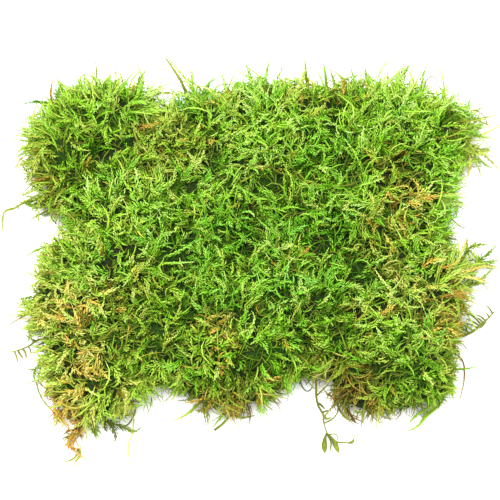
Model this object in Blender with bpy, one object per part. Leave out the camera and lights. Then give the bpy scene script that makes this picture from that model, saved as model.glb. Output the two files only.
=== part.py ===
"""A clump of feather moss: a torn-off sheet about 24 by 19 cm and 4 cm thick, lying on its peeled face.

The sheet is two solids. Below is the thatch, the brown stems of earlier years, cut off flat where it grew on
the ground. Above it is the green mat, whose surface stands up in pointed tufts, the longest round the torn
edge. Loose shoots, blades and hairs stick out of that edge, each a solid of its own that starts against it.

Metres, +Z up. The origin is on the resting face near the middle of the sheet, and -Y is the front edge.
"""

import math
import random

import bmesh
import bpy
import numpy as np
from mathutils import Vector, geometry
from mathutils.bvhtree import BVHTree

MM = 0.001  # every size below is in millimetres

# The torn outline of the sheet at its widest line, anticlockwise from the middle of the right side.
SHEET_OUTLINE = [
    (98, 5), (100, 25), (106, 40), (113, 54), (105, 68), (87, 78), (67, 82), (45, 82), (25, 84), (6, 84),
    (-12, 79), (-30, 77), (-41, 69), (-60, 80), (-76, 84), (-90, 79), (-102, 70), (-108, 56), (-107, 36),
    (-101, 21), (-89, 8), (-98, -4), (-104, -20), (-105, -35), (-101, -50), (-99, -64), (-95, -79),
    (-87, -88), (-72, -91), (-58, -88), (-50, -78), (-41, -75), (-28, -82), (-9, -87), (8, -83), (22, -72),
    (32, -68), (40, -79), (50, -88), (68, -89), (88, -84), (97, -76), (98, -58), (101, -40), (105, -24),
    (100, -8),
]
WIDEST_LINE_HEIGHT = 6.0  # of the green mat's outermost line above the ground
MAT_HEIGHT = 24.0  # of the green mat's surface, before its mounds and tufts
SHOULDER_WIDTH = 17.0  # over which the edge rises to the full height
MOUNDS = [  # x, y, rise (or, if negative, the depth of a hollow) and spread
    (-78, 65, 5, 14), (-98, 46, 3, 10), (8, 58, 4, 14), (75, 59, 5, 16), (-72, -14, 4, 14), (57, 15, 4, 12),
    (-18, -60, 5, 12), (75, -60, 6, 16), (-45, 13, 3, 12), (17, -33, 4, 12), (101, 50, 3, 9),
    (-82, 34, -4, 12), (-50, 64, -3, 8), (48, 62, -4, 10), (27, 42, -5, 10), (8, 20, -4, 8), (0, 0, -4, 7),
    (-32, -9, -3, 9), (-62, -44, -5, 11), (-25, -36, -3, 9), (30, -52, -5, 10), (47, -72, -4, 8),
    (-7, -78, -4, 9), (40, -11, -4, 12), (80, 32, -6, 7), (-82, -72, -6, 15),
]

THATCH_INSET = 7.0  # how far the thatch stands back under the edge of the green mat
THATCH_EDGE_HEIGHT = 4.0
THATCH_HEIGHT = 11.0
THATCH_SHOULDER = 25.0
CONTACT_GAP = 0.35  # between pieces that touch
LIP_WIDTH = 3.0  # of the edge's rounded underside

CURVE_STEPS = 16  # into which each stretch of the outline's curve is divided
OUTLINE_SPACING = 8.0
ROW_INSETS = (1.5, 5.0, 11.0)  # rows of points that round the edge off
SURFACE_SPACING = 8.6
THATCH_SPACING = 17.0
GROUND_SPACING = 32.0
JITTER = 0.24  # of the spacing, by which scattered points leave their grid
KEPT_INSET = 0.93  # of an inset, which a moved point keeps from the line unless it would fold over
MERGE_DISTANCE = 0.05

TUFT_SHARE = 0.36  # of the surface's facets that carry a tuft
TUFT_LENGTH = (6.5, 9.5)  # on top of the mat
EDGE_TUFT_LENGTH = (6.5, 12.0)  # at its torn edge
EDGE_SLOPE = 0.75  # facets that face up by less than this belong to the edge, which is tufted first
TUFT_WAIST = 0.36  # of a tuft's width at its foot
TUFT_LEAN = 0.5  # outwards, of a tuft at the very edge
TUFT_SWAY = 0.3
TUFT_THICKNESS = 0.3  # of the square root of its facet's area, for the spacing of tufts
TUFT_TIP_RADIUS = 0.4
TUFT_CLEARANCE = 1.5  # kept round each loose shoot
STRAND_LENGTH = (3.5, 7.0)  # of the brown strands that stick out under the edge
STRAND_TIP_HEIGHT = (0.8, 1.8)
STRAND_SWAY = 0.4  # of a wall facet's width
LOWEST_TUFT = 1.2  # above the ground
LEAF_CLEARANCE = 1.1  # of a loose shoot's leaves from the mat and from each other
LOWEST_LEAF = 0.6

STEM_TAPER = 0.4
LEAF_TAPER = 0.5  # of its length, which a leaf at the shoot's tip loses
LEAF_HEADING = (0.8, 1.1)  # shares of the way ahead and of the way aside
LEAF_VARIATION = (0.85, 1.1)
SEED = 7

GREEN = (0.19, 0.33, 0.045, 1.0)
BROWN = (0.11, 0.062, 0.022, 1.0)
STRAW = (0.40, 0.27, 0.055, 1.0)
RED_BROWN = (0.23, 0.07, 0.035, 1.0)
OLIVE = (0.17, 0.19, 0.04, 1.0)


def shoot(name, finish, radius, route, leaves=None, stretch=4.0, side_stems=()):
    """One loose shoot: its stem's half width and route from the mat's edge, its leaves and its forks.

    The leaves are given by the shares of the route where they start and end, their length and their fan, with
    one on each stretch of the stem.
    """
    return {"name": name, "finish": finish, "radius": radius, "route": route, "leaves": leaves,
            "stretch": stretch, "side_stems": side_stems}


LEAF_FACETS = {"both": (0, 2), "left": (2,), "right": (0,), "round": (0, 1, 2)}  # of a stem, by fan
LOOSE_SHOOTS = [
    shoot("runner_left", "olive", 0.7, [(-102.5, 15, 6), (-110.5, 18, 5), (-119, 20.5, 3), (-124, 20, 1.8)],
          (0.25, 0.9, 4.5, "right"), 3.2, [((-123, 20.5, 2), (-124.8, 8, 1.4))]),
    shoot("blade_left", "green", 0.8, [(-100, -2.5, 6), (-106, -4, 4.5), (-111, -6.5, 3)],
          (0.3, 0.9, 4, "both"), 2.5),
    shoot("red_stalk_left", "red", 0.5, [(-105.5, -37, 6), (-112, -39.5, 4), (-120, -44, 1.5)]),
    shoot("comb_shoot_left", "olive", 0.6, [(-101.5, -51.5, 5), (-108, -54, 2.5), (-117.5, -55, 1.8)],
          (0.3, 0.95, 7.5, "left"), 2.5),
    shoot("curved_stem_front_left", "olive", 0.6,
          [(-99.5, -64.5, 6), (-104.5, -69.5, 3), (-104.5, -76.5, 1.8), (-102, -84, 1.8), (-96.5, -90, 1.8)],
          (0.2, 0.6, 4.5, "right"), 3.0),
    shoot("straw_shoot_front_left", "straw", 1.1,
          [(-82.5, -90, 5), (-82, -96, 3), (-84, -101, 2.2), (-81.5, -106, 2.2), (-82.5, -111, 1.8)],
          (0.25, 0.97, 5.5, "both"), 2.8),
    shoot("dark_shoot_front_left", "green", 0.8,
          [(-73, -91, 4), (-68.5, -97.5, 2.4), (-61, -99, 2.2), (-53.5, -98, 2)],
          (0.2, 0.95, 5, "both"), 3.0),
    shoot("pale_hair_front_left", "straw", 0.45,
          [(-55, -86, 4), (-53, -94, 2), (-56, -101, 1.2), (-57, -107.5, 1.2), (-55, -113, 1)]),
    shoot("straw_blade_front", "straw", 0.8, [(-23.5, -83, 4), (-29, -88.5, 2.4), (-35, -92, 1.8)],
          (0.2, 0.9, 4.5, "both"), 2.8),
    shoot("green_blade_front", "green", 0.8, [(-9.5, -87, 4), (-14, -92.5, 2.2), (-18, -98, 1.8)],
          (0.2, 0.9, 4.5, "both"), 2.8),
    shoot("trailing_stem_front", "olive", 0.75,
          [(31, -68, 6), (29.5, -75.5, 3), (32.5, -82, 1.8), (35, -88.5, 1.8), (37, -95.5, 1.8),
           (41.5, -100.5, 1.8), (47, -100.5, 1.8), (50, -97.5, 1.5)],
          (0.4, 0.95, 3.6, "both"), 3.2,
          [((35.5, -92, 1.8), (35.5, -104.5, 1.4)), ((39.5, -98.5, 1.8), (43, -105, 1.4))]),
    shoot("red_stalk_front", "red", 0.5, [(42, -81, 4), (46, -92.5, 1.5), (54, -93, 1.2)]),
    shoot("green_blade_front_right", "green", 0.8, [(88.5, -84.5, 4), (83, -91.5, 2.4), (75, -96, 1.8)],
          (0.15, 0.9, 5.5, "left"), 2.8),
    shoot("feather_shoot_right", "olive", 0.9,
          [(99.5, -48, 5), (108, -46.5, 3), (115.5, -41, 2.6), (121, -34, 2.4)],
          (0.15, 0.95, 10, "left"), 2.5),
    shoot("twig_right", "red", 0.5, [(98, -57, 4), (103, -61, 1.6), (103, -70, 1.4), (100.5, -79.5, 1.4)],
          (0.4, 0.9, 4, "left"), 4.0),
    shoot("green_shoot_right", "green", 0.6, [(97.5, -66.5, 7), (103.5, -66, 6.5), (109, -65, 6)],
          (0.3, 0.9, 4, "both"), 2.5),
    shoot("tuft_shoot_right", "green", 1.2, [(104, -28, 8), (109, -22, 7), (113.5, -14, 6.5), (117, -6, 6)],
          (0.2, 1.0, 10, "round"), 2.4),
    shoot("hooked_hair_right", "red", 0.45, [(99.5, 12, 8), (106, 7.5, 6), (110.5, 10, 5)]),
    shoot("hair_back_right", "red", 0.45,
          [(106, 66, 12), (113.5, 69.5, 13.5), (119.5, 67, 11.5), (122.5, 61.5, 7)]),
    shoot("arched_hair_back_right", "olive", 0.5,
          [(88, 77.5, 15), (90, 83, 20), (94, 85.5, 19.5), (98, 78, 17)]),
    shoot("green_blade_back_right", "green", 0.8, [(74, 81, 14), (77.5, 85.5, 18.5), (81.5, 92, 19)],
          (0.2, 0.9, 5, "both"), 2.6),
    shoot("spike_back_middle", "green", 0.6, [(29.5, 84, 14), (28.5, 88, 19), (28, 94, 22)]),
    shoot("spike_back_right", "green", 0.6, [(39, 82.5, 14), (38.5, 87, 19), (37.5, 92, 21.5)]),
    shoot("long_blade_back_left", "green", 0.9,
          [(-32, 76.5, 13), (-34.5, 82, 18), (-38.5, 88.5, 19.5), (-43.5, 97, 18.5)],
          (0.2, 0.9, 4, "both"), 3.0),
    shoot("green_blade_back_left", "green", 0.7, [(-58.5, 79, 14), (-56.5, 83.5, 18.5), (-53.5, 89, 19.5)],
          (0.2, 0.9, 4.5, "both"), 2.8),
    shoot("curled_hair_back_left", "red", 0.45, [(-64.5, 81, 14), (-66, 86, 20), (-70.5, 88.5, 19)]),
    shoot("hair_back_left", "olive", 0.45, [(-79, 84, 15), (-78.5, 88.5, 20), (-79, 95, 23)]),
    shoot("hair_corner_left", "red", 0.5, [(-99, 74.5, 12), (-100, 79.5, 16.5), (-98.5, 85.5, 18)]),
]


def clear_scene():
    for existing in list(bpy.data.objects):
        bpy.data.objects.remove(existing)


def finish_material(name, colour, roughness):
    material = bpy.data.materials.new(name)
    material.use_nodes = True
    shader = material.node_tree.nodes["Principled BSDF"]
    shader.inputs["Base Color"].default_value = colour
    shader.inputs["Roughness"].default_value = roughness
    shader.inputs["Metallic"].default_value = 0.0
    material.diffuse_color = colour
    return material


def smooth_loop(points, spacing):
    """Evenly spaced points on the smooth closed curve (Catmull-Rom) through the given ones."""
    corners = np.array(points, float)
    steps = np.linspace(0, 1, CURVE_STEPS, endpoint=False)[:, None]
    before, after = np.roll(corners, 1, 0), np.roll(corners, -1, 0)
    beyond = np.roll(corners, -2, 0)
    pieces = [
        0.5 * (2 * b + (c - a) * steps + (2 * a - 5 * b + 4 * c - d) * steps**2
               + (3 * b - a - 3 * c + d) * steps**3)
        for a, b, c, d in zip(before, corners, after, beyond)
    ]
    fine = np.concatenate(pieces + [pieces[0][:1]])
    reach = np.concatenate([[0], np.cumsum(np.linalg.norm(np.diff(fine, axis=0), axis=1))])
    at = np.linspace(0, reach[-1], max(3, round(reach[-1] / spacing)), endpoint=False)
    return np.stack([np.interp(at, reach, fine[:, 0]), np.interp(at, reach, fine[:, 1])], 1)


def distance_to(loop, points):
    """How far each point is from the closed line through the loop's points."""
    start, along = loop, np.roll(loop, -1, 0) - loop
    offset = points[:, None, :] - start[None]
    share = np.clip((offset * along).sum(2) / (along**2).sum(1), 0, 1)
    return np.linalg.norm(offset - share[..., None] * along, axis=2).min(1)


def inside(loop, points):
    """Which points lie inside the loop, by the even-odd rule."""
    x, y = points[:, 0, None], points[:, 1, None]
    ax, ay = loop[:, 0], loop[:, 1]
    bx, by = np.roll(ax, -1), np.roll(ay, -1)
    crosses = (ay > y) != (by > y)
    rise = np.where(by == ay, 1.0, by - ay)
    return ((x < ax + (y - ay) * (bx - ax) / rise) & crosses).sum(1) % 2 == 1


def inset_loop(loop, inset):
    """The loop moved inwards. Points that would fold over at a tight corner are left out."""
    tangent = np.roll(loop, -1, 0) - np.roll(loop, 1, 0)
    tangent /= np.linalg.norm(tangent, axis=1)[:, None]
    moved = loop + inset * np.stack([-tangent[:, 1], tangent[:, 0]], 1)
    return moved[distance_to(loop, moved) > KEPT_INSET * inset]


def scattered_points(loop, spacing, margin, chance):
    """A jittered triangular grid inside the loop, clear of its edge by the margin."""
    low, high = loop.min(0), loop.max(0)
    rows = np.arange(low[1], high[1], spacing * math.sqrt(0.75))
    grid = [
        (x + spacing * (0.5 * (i % 2) + chance.uniform(-JITTER, JITTER)),
         y + spacing * chance.uniform(-JITTER, JITTER))
        for i, y in enumerate(rows)
        for x in np.arange(low[0], high[0], spacing)
    ]
    grid = np.array(grid)
    grid = grid[inside(loop, grid)]
    return grid[distance_to(loop, grid) > margin]


def triangulate(loops, points):
    """Triangles between the points, with every loop's line kept as edges, none outside the first loop."""
    every, edges = [], []
    for loop in loops:
        first = len(every)
        edges += [(first + i, first + (i + 1) % len(loop)) for i in range(len(loop))]
        every += [Vector(p) for p in loop]
    every += [Vector(p) for p in points]
    found = geometry.delaunay_2d_cdt(every, edges, [], 0, 1e-5)
    plan = np.array([tuple(v) for v in found[0]])
    faces = np.array(found[2])
    middle = plan[faces].mean(1)
    faces = faces[inside(loops[0], middle)]
    a, b, c = plan[faces[:, 0]], plan[faces[:, 1]], plan[faces[:, 2]]
    turns = (b - a)[:, 0] * (c - a)[:, 1] - (b - a)[:, 1] * (c - a)[:, 0]
    faces[turns < 0] = faces[turns < 0][:, ::-1]
    return plan, faces


def shoulder(distance, width):
    """From 0 at the edge to 1 further in than the width, along a quarter of an ellipse."""
    share = np.clip(distance / width, 0, 1)
    return np.sqrt(1 - (1 - share) ** 2)


class Sheet:
    """The sheet's plan and the heights of its layers."""

    def __init__(self):
        self.outline = smooth_loop(SHEET_OUTLINE, OUTLINE_SPACING)
        self.thatch_line = inset_loop(self.outline, THATCH_INSET)

    def top(self, plan):
        crown = np.full(len(plan), MAT_HEIGHT - WIDEST_LINE_HEIGHT)
        for x, y, rise, spread in MOUNDS:
            crown += rise * np.exp(-((plan - (x, y)) ** 2).sum(1) / (2 * spread**2))
        return WIDEST_LINE_HEIGHT + crown * shoulder(distance_to(self.outline, plan), SHOULDER_WIDTH)

    def thatch_top(self, plan):
        under = inside(self.thatch_line, plan)
        distance = np.where(under, distance_to(self.thatch_line, plan), 0.0)
        return THATCH_EDGE_HEIGHT + (THATCH_HEIGHT - THATCH_EDGE_HEIGHT) * shoulder(distance, THATCH_SHOULDER)

    def mat_underside(self, plan):
        distance = distance_to(self.outline, plan)
        lip = np.clip(1 - distance / LIP_WIDTH, 0, 1)
        floor = self.thatch_top(plan) + CONTACT_GAP
        return floor + (WIDEST_LINE_HEIGHT - floor) * lip


def add_layer(mesh, plan, heights, faces, upwards=True):
    verts = [mesh.verts.new((x * MM, y * MM, z * MM)) for (x, y), z in zip(plan, heights)]
    order = (0, 1, 2) if upwards else (2, 1, 0)
    made = [mesh.faces.new([verts[face[i]] for i in order]) for face in faces]
    for vert in verts:
        if not vert.link_faces:
            mesh.verts.remove(vert)
    return made


def add_object(name, mesh, material):
    mesh.normal_update()
    data = bpy.data.meshes.new(name)
    mesh.to_mesh(data)
    mesh.free()
    data.materials.append(material)
    placed = bpy.data.objects.new(name, data)
    bpy.context.scene.collection.objects.link(placed)
    return placed


def nearest_vert(mesh, point, height):
    place = Vector((*point, height)) * MM
    return min(mesh.verts, key=lambda vert: (vert.co - place).length_squared)


def thatch_mesh(sheet, plan, faces):
    """The brown thatch: a low dome with an upright edge and a flat underside."""
    mesh = bmesh.new()
    under = inside(sheet.thatch_line, plan[faces].mean(1))
    add_layer(mesh, plan, sheet.thatch_top(plan), faces[under])
    chance = random.Random(SEED)
    ground = scattered_points(sheet.thatch_line, GROUND_SPACING, GROUND_SPACING / 3, chance)
    ground_plan, ground_faces = triangulate([sheet.thatch_line], ground)
    add_layer(mesh, ground_plan, np.zeros(len(ground_plan)), ground_faces, upwards=False)
    line = len(sheet.thatch_line)
    foot = [nearest_vert(mesh, point, 0.0) for point in sheet.thatch_line]
    brow = [nearest_vert(mesh, point, THATCH_EDGE_HEIGHT) for point in sheet.thatch_line]
    for i in range(line):
        k = (i + 1) % line
        wall = mesh.faces.new([foot[i], foot[k], brow[k], brow[i]])
        wall.normal_update()
        sway = (foot[k].co - foot[i].co) * chance.uniform(-STRAND_SWAY, STRAND_SWAY)
        tip = wall.calc_center_median() + wall.normal * MM * chance.uniform(*STRAND_LENGTH) + sway
        tip.z = MM * chance.uniform(*STRAND_TIP_HEIGHT)
        draw_point(mesh, wall, tip)
    return mesh


def mat_mesh(sheet, plan, faces):
    """The green mat without its tufts, and the facets of its upper surface."""
    mesh = bmesh.new()
    chance = random.Random(SEED + 1)
    rows = [inset_loop(sheet.outline, inset) for inset in ROW_INSETS]
    inner = scattered_points(sheet.outline, SURFACE_SPACING, ROW_INSETS[-1] + 0.6 * SURFACE_SPACING, chance)
    top_plan, top_faces = triangulate([sheet.outline], np.concatenate([*rows, inner]))
    upper = add_layer(mesh, top_plan, sheet.top(top_plan), top_faces)
    add_layer(mesh, plan, sheet.mat_underside(plan), faces, upwards=False)
    bmesh.ops.remove_doubles(mesh, verts=mesh.verts[:], dist=MERGE_DISTANCE * MM)
    mesh.normal_update()
    return mesh, [face for face in upper if face.is_valid]


def surface_tree(mesh):
    mesh.verts.index_update()
    corners = [vert.co for vert in mesh.verts]
    return BVHTree.FromPolygons(corners, [[vert.index for vert in face.verts] for face in mesh.faces])


def rooted_route(upper, data):
    """The shoot's route in metres, from just off the facet of the mat that lies nearest its first point."""
    start, *rest = [Vector(point) * MM for point in data["route"]]
    facet = min(upper, key=lambda face: (face.calc_center_median() - start).length)
    foot, outward = facet.calc_center_median(), facet.normal.copy()
    rise = min(2.5 * data["radius"] * MM, 0.4 * (rest[0] - foot).length)
    gap = CONTACT_GAP * MM
    return facet, outward, [foot + outward * gap, foot + outward * (gap + rise), *rest]


def smooth_route(points, stretch):
    """Points about one stretch apart on the smooth curve (Catmull-Rom) through the given ones."""
    padded = [2 * points[0] - points[1], *points, 2 * points[-1] - points[-2]]
    made = [points[0]]
    for a, b, c, d in zip(padded, padded[1:], padded[2:], padded[3:]):
        steps = max(1, round((c - b).length / stretch))
        for t in (step / steps for step in range(1, steps + 1)):
            bend = (2 * a - 5 * b + 4 * c - d) * t**2 + (3 * b - a - 3 * c + d) * t**3
            made.append(0.5 * (2 * b + (c - a) * t + bend))
    return made


def stem_frames(line, outward):
    """The direction, left side and upper side of the stem at each point, turned as little as possible."""
    frames, left = [], Vector((0, 0, 1)).cross(outward)
    if left.length < 0.3:
        left = Vector((1, 0, 0))
    for i in range(len(line)):
        ahead = (line[min(i + 1, len(line) - 1)] - line[max(i - 1, 0)]).normalized() if i else outward
        left = (left - ahead * left.dot(ahead)).normalized()
        frames.append((ahead, left, ahead.cross(left)))
    return frames


def add_stem(mesh, line, frames, radius):
    """A tapering three-sided stem, closed at both ends. Returns each stretch's facets: right, under, left."""
    rings = []
    for i, (point, (_, left, up)) in enumerate(zip(line, frames)):
        width = radius * MM * (1 - (1 - STEM_TAPER) * i / (len(line) - 1))
        turns = [math.radians(90 + 120 * k) for k in range(3)]
        rings.append([mesh.verts.new(point + width * (math.cos(t) * left + math.sin(t) * up)) for t in turns])
    mesh.faces.new(rings[0][::-1])
    mesh.faces.new(rings[-1])
    return [
        [mesh.faces.new([a[k], a[(k + 1) % 3], b[(k + 1) % 3], b[k]]) for k in range(3)]
        for a, b in zip(rings, rings[1:])
    ]


def draw_point(mesh, face, tip):
    """Draws a facet out to a point."""
    corners = list(face.verts)
    mesh.faces.remove(face)
    apex = mesh.verts.new(tip)
    for a, b in zip(corners, corners[1:] + corners[:1]):
        mesh.faces.new([a, b, apex])


def add_leaves(mesh, line, stretches, frames, data, grown, mat_surface):
    """Leaves on the stem's sides, shorter towards its tip. Those that would touch another are left out."""
    first, last, length, fan = data["leaves"]
    chance = random.Random(data["name"])
    for i, facets in enumerate(stretches[1:-1], 1):
        share = (i + 0.5) / len(stretches)
        if not facets or not first <= share <= last:
            continue
        for k in LEAF_FACETS[fan]:
            middle = facets[k].calc_center_median()
            ahead, left, up = frames[i]
            aside = {0: up * 0.25 - left, 1: -up, 2: up * 0.25 + left}[k]
            heading = ahead * chance.uniform(*LEAF_HEADING) + aside * chance.uniform(*LEAF_HEADING)
            reach = length * MM * (1 - LEAF_TAPER * share) * chance.uniform(*LEAF_VARIATION)
            tip = middle + heading.normalized() * reach
            tip.z = max(tip.z, LOWEST_LEAF * MM)
            leaf = [middle.lerp(tip, t) for t in (0.35, 0.7, 1.0)]
            crowd = grown + line[:i] + line[i + 2:]
            if is_clear(leaf, crowd, mat_surface):
                draw_point(mesh, facets[k], tip)
                grown += leaf


def is_clear(leaf, crowd, mat_surface):
    """Whether a leaf's points keep off the shoot's other leaves and stem, and lie outside the mat."""
    for point in leaf:
        near, normal, _, distance = mat_surface.find_nearest(point)
        if distance < LEAF_CLEARANCE * MM or (point - near).dot(normal) < 0:
            return False
        if any((point - other).length < LEAF_CLEARANCE * MM for other in crowd):
            return False
    return True


def shoot_mesh(data, outward, route, mat_surface):
    mesh = bmesh.new()
    line = smooth_route(route, data["stretch"] * MM)
    frames = stem_frames(line, outward)
    stretches = add_stem(mesh, line, frames, data["radius"])
    forks = []
    for foot, tip in data["side_stems"]:
        foot, tip = Vector(foot) * MM, Vector(tip) * MM
        reach = foot + (tip - foot).normalized() * 2 * MM
        sides = [facets[k] for facets in stretches[1:-1] if facets for k in (0, 2)]
        taken = min(sides, key=lambda face: (face.calc_center_median() - reach).length)
        stretches = [[] if taken in facets else facets for facets in stretches]
        draw_point(mesh, taken, tip)
        forks += [foot.lerp(tip, share / 10) for share in range(1, 11)]
    if data["leaves"]:
        add_leaves(mesh, line, stretches, frames, data, forks, mat_surface)
    bmesh.ops.triangulate(mesh, faces=[face for face in mesh.faces if len(face.verts) > 3])
    bmesh.ops.recalc_face_normals(mesh, faces=mesh.faces[:])
    return mesh


def stands_clear(tuft, others, shoots):
    """Whether a tuft, given as points with radii, keeps clear of the other tufts and of the loose shoots."""
    for point, radius in tuft:
        if shoots.find_nearest(point)[3] < radius + TUFT_CLEARANCE * MM:
            return False
    if not others:
        return True
    places = np.array([tuple(point) for point, _ in others])
    radii = np.array([radius for _, radius in others])
    return all((np.linalg.norm(places - tuple(p), axis=1) > radii + r).all() for p, r in tuft)


def raise_tufts(mesh, sheet, upper, used, shoots):
    """Draws a share of the mat's facets out to bent points, longest and leaning outwards at the torn edge."""
    chance = random.Random(SEED + 2)
    wanted = round(TUFT_SHARE * len(upper))
    order = chance.sample(upper, len(upper))
    order.sort(key=lambda face: face.normal.z > EDGE_SLOPE)
    kept = {near for face in used for vert in face.verts for near in vert.link_faces}
    grown = []
    for face in order:
        if wanted == 0:
            break
        if face in kept:
            continue
        middle, outward = face.calc_center_median(), face.normal.copy()
        plan = np.array([[middle.x, middle.y]]) / MM
        rim = 1 - min(1.0, distance_to(sheet.outline, plan)[0] / SHOULDER_WIDTH)
        length = MM * chance.uniform(*(a + (b - a) * rim for a, b in zip(TUFT_LENGTH, EDGE_TUFT_LENGTH)))
        lean = Vector((outward.x, outward.y, 0)) * TUFT_LEAN * rim
        sway = Vector((chance.uniform(-1, 1), chance.uniform(-1, 1), 0)) * TUFT_SWAY
        rise = (outward + lean + sway).normalized()
        knee = middle + rise * length / 2
        tip = knee + (rise + sway).normalized() * length / 2
        tip.z = max(tip.z, LOWEST_TUFT * MM)
        width = math.sqrt(face.calc_area()) * TUFT_THICKNESS
        shaft = [(middle.lerp(knee, 0.6), width), (knee, width * 0.8)]
        tuft = [*shaft, (knee.lerp(tip, 0.5), width * 0.5), (tip, TUFT_TIP_RADIUS * MM)]
        if not stands_clear(tuft, grown, shoots):
            continue
        grown += tuft
        kept |= {near for edge in face.edges for near in edge.link_faces}
        corners = list(face.verts)
        waist = [mesh.verts.new(knee + (corner.co - middle) * TUFT_WAIST) for corner in corners]
        mesh.faces.remove(face)
        for i in range(3):
            k = (i + 1) % 3
            mesh.faces.new([corners[i], corners[k], waist[k]])
            mesh.faces.new([corners[i], waist[k], waist[i]])
        draw_point(mesh, mesh.faces.new(waist), tip)
        wanted -= 1


clear_scene()
finishes = {
    "green": finish_material("living_moss", GREEN, 0.6),
    "brown": finish_material("brown_thatch", BROWN, 0.85),
    "straw": finish_material("straw_moss", STRAW, 0.7),
    "red": finish_material("red_brown_stalk", RED_BROWN, 0.6),
    "olive": finish_material("olive_stem", OLIVE, 0.65),
}
sheet = Sheet()
shared_points = scattered_points(sheet.thatch_line, THATCH_SPACING, THATCH_SPACING / 2.2, random.Random(SEED))
shared_plan, shared_faces = triangulate([sheet.outline, sheet.thatch_line], shared_points)
add_object("brown_thatch", thatch_mesh(sheet, shared_plan, shared_faces), finishes["brown"])

mat, mat_facets = mat_mesh(sheet, shared_plan, shared_faces)
mat_surface = surface_tree(mat)
rooted_facets, loose = [], bmesh.new()
for data in LOOSE_SHOOTS:
    facet, outward, route = rooted_route(mat_facets, data)
    rooted_facets.append(facet)
    made = add_object(data["name"], shoot_mesh(data, outward, route, mat_surface), finishes[data["finish"]])
    loose.from_mesh(made.data)
raise_tufts(mat, sheet, mat_facets, rooted_facets, surface_tree(loose))
loose.free()
add_object("green_moss_mat", mat, finishes["green"])
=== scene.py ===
"""Dresses the moss clump: thousands of leafy shoots over a matted core, on a thatch of dead brown stems.

Blender works in metres. Every size and place named here is in millimetres, unless its property or comment
says otherwise, and MM turns it into metres. The clump lies on z = 0, and -Y is its front edge.
"""

import functools
import math
import random

import bpy
import numpy as np
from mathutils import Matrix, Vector, geometry


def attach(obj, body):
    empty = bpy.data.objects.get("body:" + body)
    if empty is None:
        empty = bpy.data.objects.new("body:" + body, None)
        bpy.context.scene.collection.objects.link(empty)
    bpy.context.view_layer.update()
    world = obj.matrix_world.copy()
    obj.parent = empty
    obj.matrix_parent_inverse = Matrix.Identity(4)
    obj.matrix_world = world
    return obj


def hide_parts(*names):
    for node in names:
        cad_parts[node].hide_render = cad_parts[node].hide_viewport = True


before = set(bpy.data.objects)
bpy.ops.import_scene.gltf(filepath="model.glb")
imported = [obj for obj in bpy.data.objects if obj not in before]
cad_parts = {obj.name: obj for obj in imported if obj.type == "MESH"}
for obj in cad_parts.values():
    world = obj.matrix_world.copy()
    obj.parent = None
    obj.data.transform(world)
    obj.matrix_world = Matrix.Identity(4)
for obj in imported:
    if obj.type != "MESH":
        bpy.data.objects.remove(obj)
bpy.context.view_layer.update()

bl_info = {
    "name": "Moss Clump",
    "version": (1, 0, 0),
    "blender": (4, 5, 0),
    "location": "View3D > Sidebar > Moss",
    "description": "Grows the leafy shoots, core, thatch and loose shoots of a torn-off clump of moss",
    "category": "Object",
}

MM = 0.001
LOWEST = 0.1  # height of the lowest leaves above the ground

OUTLINE_SPACING = 5.0  # between the points of the sheet's torn outline
RING_SPACING = 4.0  # between those of the core's outline and of the thatch's
JITTER = 0.24  # of the spacing, by which scattered points leave their grid
KEPT_INSET = 0.93  # of an inset, which a moved point keeps from the line unless it would fold over
MERGE_DISTANCE = 1e-5

CORE_ROWS = (0.8, 2.5, 5.0, 8.0)  # insets of the rows of points that round off the core's edge
CORE_SPACING = 4.2  # between the points further in
CORE_MARGIN = 9.5  # from the edge to the first of them
CORE_INSET = 0.8  # of its depth, by which it stands back under the torn edge
CORE_LUMPS = [(9.0, 4, 1.1), (4.5, 5, 0.5)]  # size, seed and height
CORE_UNDERSIDE = (4.6, 10.5)  # heights of the core's underside, near the edge and in the middle
CORE_UNDERSIDE_SLOPE = 0.25

THATCH_INSET = 7.0  # how far the thatch stands back under the torn edge
THATCH_SPACING = 7.0  # between the points of its body
THATCH_MARGIN = 4.0  # from its edge to the first of them
THATCH_FLOOR = 0.45  # height of its underside
THATCH_BROW = 2.3  # height of the crumbly line round its edge
THATCH_CRUMBS = 0.8  # by which that line goes in and out
THATCH_EDGE = 3.9  # height of its upper edge
THATCH_RISE = 6.8  # from there to its top
THATCH_SHOULDER = 25.0  # width over which it rises

EDGE_REACH = 11.0  # how far in from the torn edge the shoots still lean out over it
OPEN_REACH = 9.0  # how far in light from the side reaches
GAP_PUSH = 1.7  # how strongly the shoots lean away from the middle of a gap
GAP_REACH = 2.1  # of the gap's spread, over which they do
LIGHT_HEIGHT = 9.0  # of a shoot above its root, at which it is fully lit
BLADE_RADIUS = 0.56  # half width of the young blades
HAIR_RADIUS = 0.26  # of the edge hairs
OLD_STEM_RADIUS = 0.5  # of the stems in the gaps
DEAD_STEM_RADIUS = 0.34  # of the thatch's stems
PATH_STEPS = 8  # stretches of a shoot's path
LOWEST_PATH = 0.6  # height of the lowest path above the ground
TWIG_POINTS = 22  # along each stem of a loose shoot

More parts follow.
